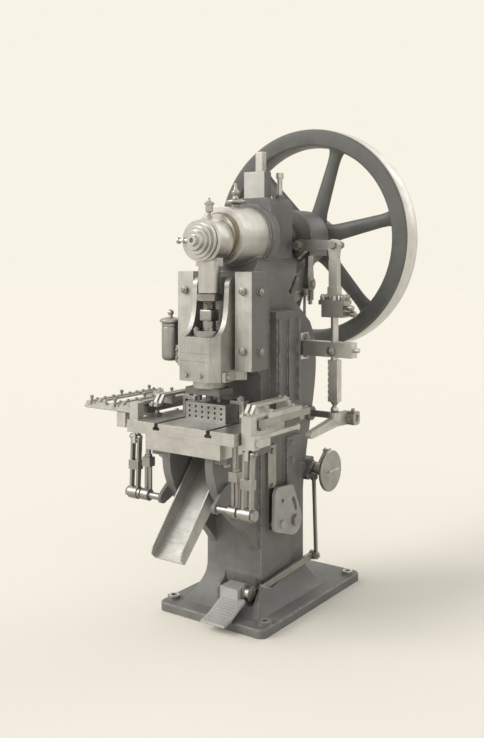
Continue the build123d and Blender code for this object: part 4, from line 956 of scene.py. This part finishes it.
def add_lubricator():
    """The oil pot, round at its foot, on a curved bracket that is bolted to the left guide."""
    pot = place_shape(turned_shape(pot_outline, steps=64, edge=0.4), pot_foot)
    bracket = plate_shape(pot_bracket_outline, pot_bracket_width, edge=2, segments=3)
    stand = Matrix.Translation((0, pot_bracket_back, 0)) @ Matrix.Rotation(radians(90), 4, "X")
    bmesh.ops.transform(bracket, matrix=stand, verts=bracket.verts)
    face = pot_bracket_back - pot_bracket_width
    places = [((pot_bolt_x, face, z), front) for z in pot_bolt_heights]
    bolts = copies(lambda: hexagon_bolt(pot_bolt_thread), places)
    add_piece("oil_pot_body", join(pot, bracket, bolts), "frame", "steel drawn along z", ["lubricator_pot"])
    cap = place_shape(turned_shape(cap_outline, steps=64, edge=0.4), cap_foot)
    add_piece("oil_pot_cap", cap, "frame", "oiler metal", ["lubricator_cap"])


# Return spring, in millimetres
spring_foot = (106, 196, 1212)
spring_wire, spring_radius, spring_height, spring_turns = 4, 14, 60, 8


def add_return_spring():
    coil = coil_spring(spring_wire, spring_radius, spring_height, spring_turns)
    add_piece("return_spring", place_shape(coil, spring_foot), "frame", "spring steel")


# Pedal, in millimetres: places along Y with the height of the plate's top, then the grid of its studs
pedal_curve = ((-440, 40), (-390, 52), (-320, 84), (-290, 94))
stud_rows, studs_in_row = 12, 9
stud_field_middle = (63, -367, 0)
stud_field_size = (102, 140, 1, 1)
stud_foot_depth, stud_foot_thickness = 0.6, 1.2
stud_inset, stud_height = 2.6, 2.2


def pedal_height(y):
    """The top of the pedal plate: a cubic through the four points of its curve."""
    total = 0.0
    for here, height in pedal_curve:
        share = height
        for other, _ in pedal_curve:
            if other != here:
                share *= (y - other) / (here - other)
        total += share
    return total


def add_treads():
    """Raised studs in rows across the pedal, on the curve of its plate."""
    # The grid is one unit wide before it is stretched over its field
    grid = bmesh.new()
    bmesh.ops.create_grid(grid, x_segments=studs_in_row, y_segments=stud_rows, size=0.5)
    field = Matrix.Translation(stud_field_middle) @ Matrix.Diagonal(stud_field_size)
    bmesh.ops.transform(grid, matrix=field, verts=grid.verts)
    for point in grid.verts:
        point.co.z = pedal_height(point.co.y) - stud_foot_depth
    bmesh.ops.recalc_face_normals(grid, faces=grid.faces)
    if grid.faces[0].normal.z < 0:
        bmesh.ops.reverse_faces(grid, faces=grid.faces)
    bmesh.ops.solidify(grid, geom=grid.faces[:], thickness=stud_foot_thickness)
    bmesh.ops.recalc_face_normals(grid, faces=grid.faces)
    top = [f for f in grid.faces if f.normal.z > 0.5]
    bmesh.ops.inset_individual(grid, faces=top, thickness=stud_inset, depth=stud_height)
    add_piece("pedal_studs", grid, "pedal", "pedal iron")


# Foundation rings, strut nuts, rocking levers' pins and the disc's mark, in millimetres
foundation_x, foundation_y, base_top = 218, 320, 46
foundation_ring = ((0, 12.5), (0, 21), (3, 21), (3, 12.5))
strut_foot = (205, -490, 632)
strut_nut_across, strut_nut_height = 26, 11
rocking_pin = (289, -491, 702)
rocking_pin_thread = 9
disc_mark = ((235.5, 128, 509), (239, 204, 517))


def mirrored(place):
    """The same place on the left and on the right."""
    x, y, z = place
    return [(side * x, y, z) for side in sides]


def add_small_fittings():
    """The rings of the base, and the small nuts and marks of the drives."""
    holes = [(side * foundation_x, end * foundation_y, base_top) for side in sides for end in sides]
    rings = copies(lambda: ring_shape(foundation_ring, steps=40, edge=0.6), [(at, up) for at in holes])
    add_piece("foundation_rings", rings, "frame", "bright planed along x")
    under_rails = [(at, up) for at in mirrored(strut_foot)]
    struts = copies(lambda: hexagon_head(strut_nut_across, strut_nut_height), under_rails)
    add_piece("strut_nuts", struts, "frame", "bolt steel")
    for side, body, at in zip(sides, ("left_rocking", "right_rocking"), mirrored(rocking_pin)):
        end = place_shape(hexagon_bolt(rocking_pin_thread), at, (side, 0, 0))
        add_piece(body + "_pin_head", end, body, "bolt steel")
    add_piece("disc_pointer", bar_shape(*disc_mark, edge=0.8), "clutch", "bright planed along y")


# Forked lever beside the clutch disc, in millimetres, with its shaft's place and its lean in degrees
fork_shaft_y, fork_shaft_z, fork_lean = 150, 513, 43
fork_hub_outline = ((0, 15.3), (0, 25), (2, 26), (28, 26), (30, 25), (30, 15.3))
fork_bars = (163, 186)
fork_bar_thickness, fork_bar_half = 7, 8
fork_bar_start, fork_bar_end = 20, 104
fork_pin_place = (159, 92, 0)
fork_pin_outline = ((0, 0), (0, 7), (2, 9), (36, 9), (38, 7), (38, 0))


def add_crank_fork():
    """Two flat bars on the clutch shaft that reach up beside the disc, with a pin through their ends."""
    hub = place_shape(ring_shape(fork_hub_outline, steps=40, edge=0.6), (fork_bars[0], 0, 0), right)
    pin = place_shape(turned_shape(fork_pin_outline, steps=32, edge=0.4), fork_pin_place, right)
    bars = [bar_shape(
        (x, fork_bar_start, -fork_bar_half),
        (x + fork_bar_thickness, fork_bar_end, fork_bar_half), edge=2.0,
    ) for x in fork_bars]
    fork = join(hub, pin, *bars)
    shaft = Matrix.Translation((0, fork_shaft_y, fork_shaft_z))
    lean = shaft @ Matrix.Rotation(radians(fork_lean), 4, "X")
    bmesh.ops.transform(fork, matrix=lean, verts=fork.verts)
    add_piece("crank_fork", fork, "clutch", "bright planed along y")


# Small fittings of the blank tray, in millimetres: steps are taken from a bar or from its top
cap_screw_outline = ((0, 0), (0, 5.5), (1, 6), (4, 6), (5.5, 4.5), (6, 0))
cap_screw_ys = (-445, -400, -350, -250, -205, -165, -95)
strip_step, strip_drop = 21, 4
small_nut_steps, large_nut_step, nut_drop = (42, 72), 60, 5
small_nut_thread, small_nut_across = 9, 17
large_nut_thread, large_nut_across = 16, 30


def add_tray_fittings():
    """Small cap screws along the bars of the blank tray, and nuts on the stop strips."""
    bars = [((x, y, tray_top), up) for x in tray_bars for y in cap_screw_ys]
    strips = [((x + strip_step, y, tray_top - strip_drop), up) for x in tray_bars for y in cap_screw_ys[::2]]
    screws = copies(lambda: turned_shape(cap_screw_outline, steps=20, edge=0.3), bars + strips)
    add_piece("tray_cap_screws", screws, "frame", "bolt steel")
    near, _, far = tray_screw_ys
    seat = tray_top - nut_drop
    small = [((x + step, near, seat), up) for x in tray_bars for step in small_nut_steps]
    large = [((x + large_nut_step, far, seat), up) for x in tray_bars]
    nuts = copies(lambda: hexagon_bolt(small_nut_thread, small_nut_across), small)
    join(nuts, copies(lambda: hexagon_bolt(large_nut_thread, large_nut_across), large))
    add_piece("tray_stop_nuts", nuts, "frame", "bright planed along x")


# Rod clamp, in millimetres: the rod's line, and the clamp's height as a share of the rod's length
rod_x, rod_y = 312, 40
rod_foot, rod_head, clamp_share = 790, 1446, 0.61
rod_clamp_z = rod_foot + clamp_share * (rod_head - rod_foot)
clamp_nut_rise = 36
clamp_nut_xs, clamp_nut_ys = (-44, 44), (-14, 22)
clamp_nut_outline = (
    (0, 0), (0, 12), (2, 13), (5, 13), (5, 11.5), (7, 11.5), (7, 13), (13, 13), (15, 11.5), (20, 10),
    (23, 6), (24, 0),
)
clamp_screw_step = 50
clamp_screws = ((-8, 6), (12, -18))
clamp_screw_outline = (
    (0, 0), (0, 8), (13, 8), (14, 11), (16, 12), (36, 12), (38, 11), (40, 7), (40, 0),
)


def add_clamp_nuts():
    """The four grooved nuts on the rod clamp, and its two cross screws."""
    top = rod_clamp_z + clamp_nut_rise
    corners = [(rod_x + dx, rod_y + dy, top) for dx in clamp_nut_xs for dy in clamp_nut_ys]
    nuts = copies(
        lambda: turned_shape(clamp_nut_outline, steps=32, edge=0.3), [(at, up) for at in corners])
    side = rod_x + clamp_screw_step
    ends = [(side, rod_y + dy, rod_clamp_z + dz) for dy, dz in clamp_screws]
    screws = copies(
        lambda: turned_shape(clamp_screw_outline, steps=32, edge=0.3), [(at, right) for at in ends])
    add_piece("rod_clamp_screws", join(nuts, screws), "rod", "bolt steel", ["rod_clamp_nuts"])


def add_floor():
    """A wide pale floor, which isn't part of the press."""
    bpy.ops.mesh.primitive_plane_add(size=floor_size)
    floor = bpy.context.object
    floor.name = "floor"
    material, _, surface = start_material("pale floor")
    surface.inputs["Base Color"].default_value = floor_colour
    surface.inputs["Roughness"].default_value = floor_roughness
    floor.data.materials.append(material)


def add_world():
    """Pale all round for the camera; as a light, bright on the left and dim on the right."""
    world = bpy.data.worlds.new("studio")
    world.use_nodes = True
    bpy.context.scene.world = world
    shader = Shader(world.node_tree)
    background = world.node_tree.nodes["Background"]
    heading = shader.add("ShaderNodeTexCoord").outputs["Generated"]
    to_left = shader.vector("DOT_PRODUCT", heading, bright_heading)
    studio = shader.mix(shader.span(to_left, *bright_span), dim_world, bright_world)
    rays = shader.add("ShaderNodeLightPath").outputs
    direct = shader.math("MAXIMUM", rays["Is Camera Ray"], rays["Is Glossy Ray"])
    direct = shader.math("MAXIMUM", direct, rays["Is Transmission Ray"])
    shader.put(background.inputs["Color"], shader.mix(direct, studio, seen_world))
    background.inputs["Strength"].default_value = 1.0


add_camera()
for lamp in lamps:
    add_sun(*lamp)
add_world()
add_floor()
dress_solids()
add_flywheel()
add_bolts()
add_screw()
add_oil_cup()
add_lubricator()
add_return_spring()
add_treads()
add_small_fittings()
add_crank_fork()
add_tray_fittings()
add_clamp_nuts()

bpy.context.scene.view_settings.view_transform = "Standard"
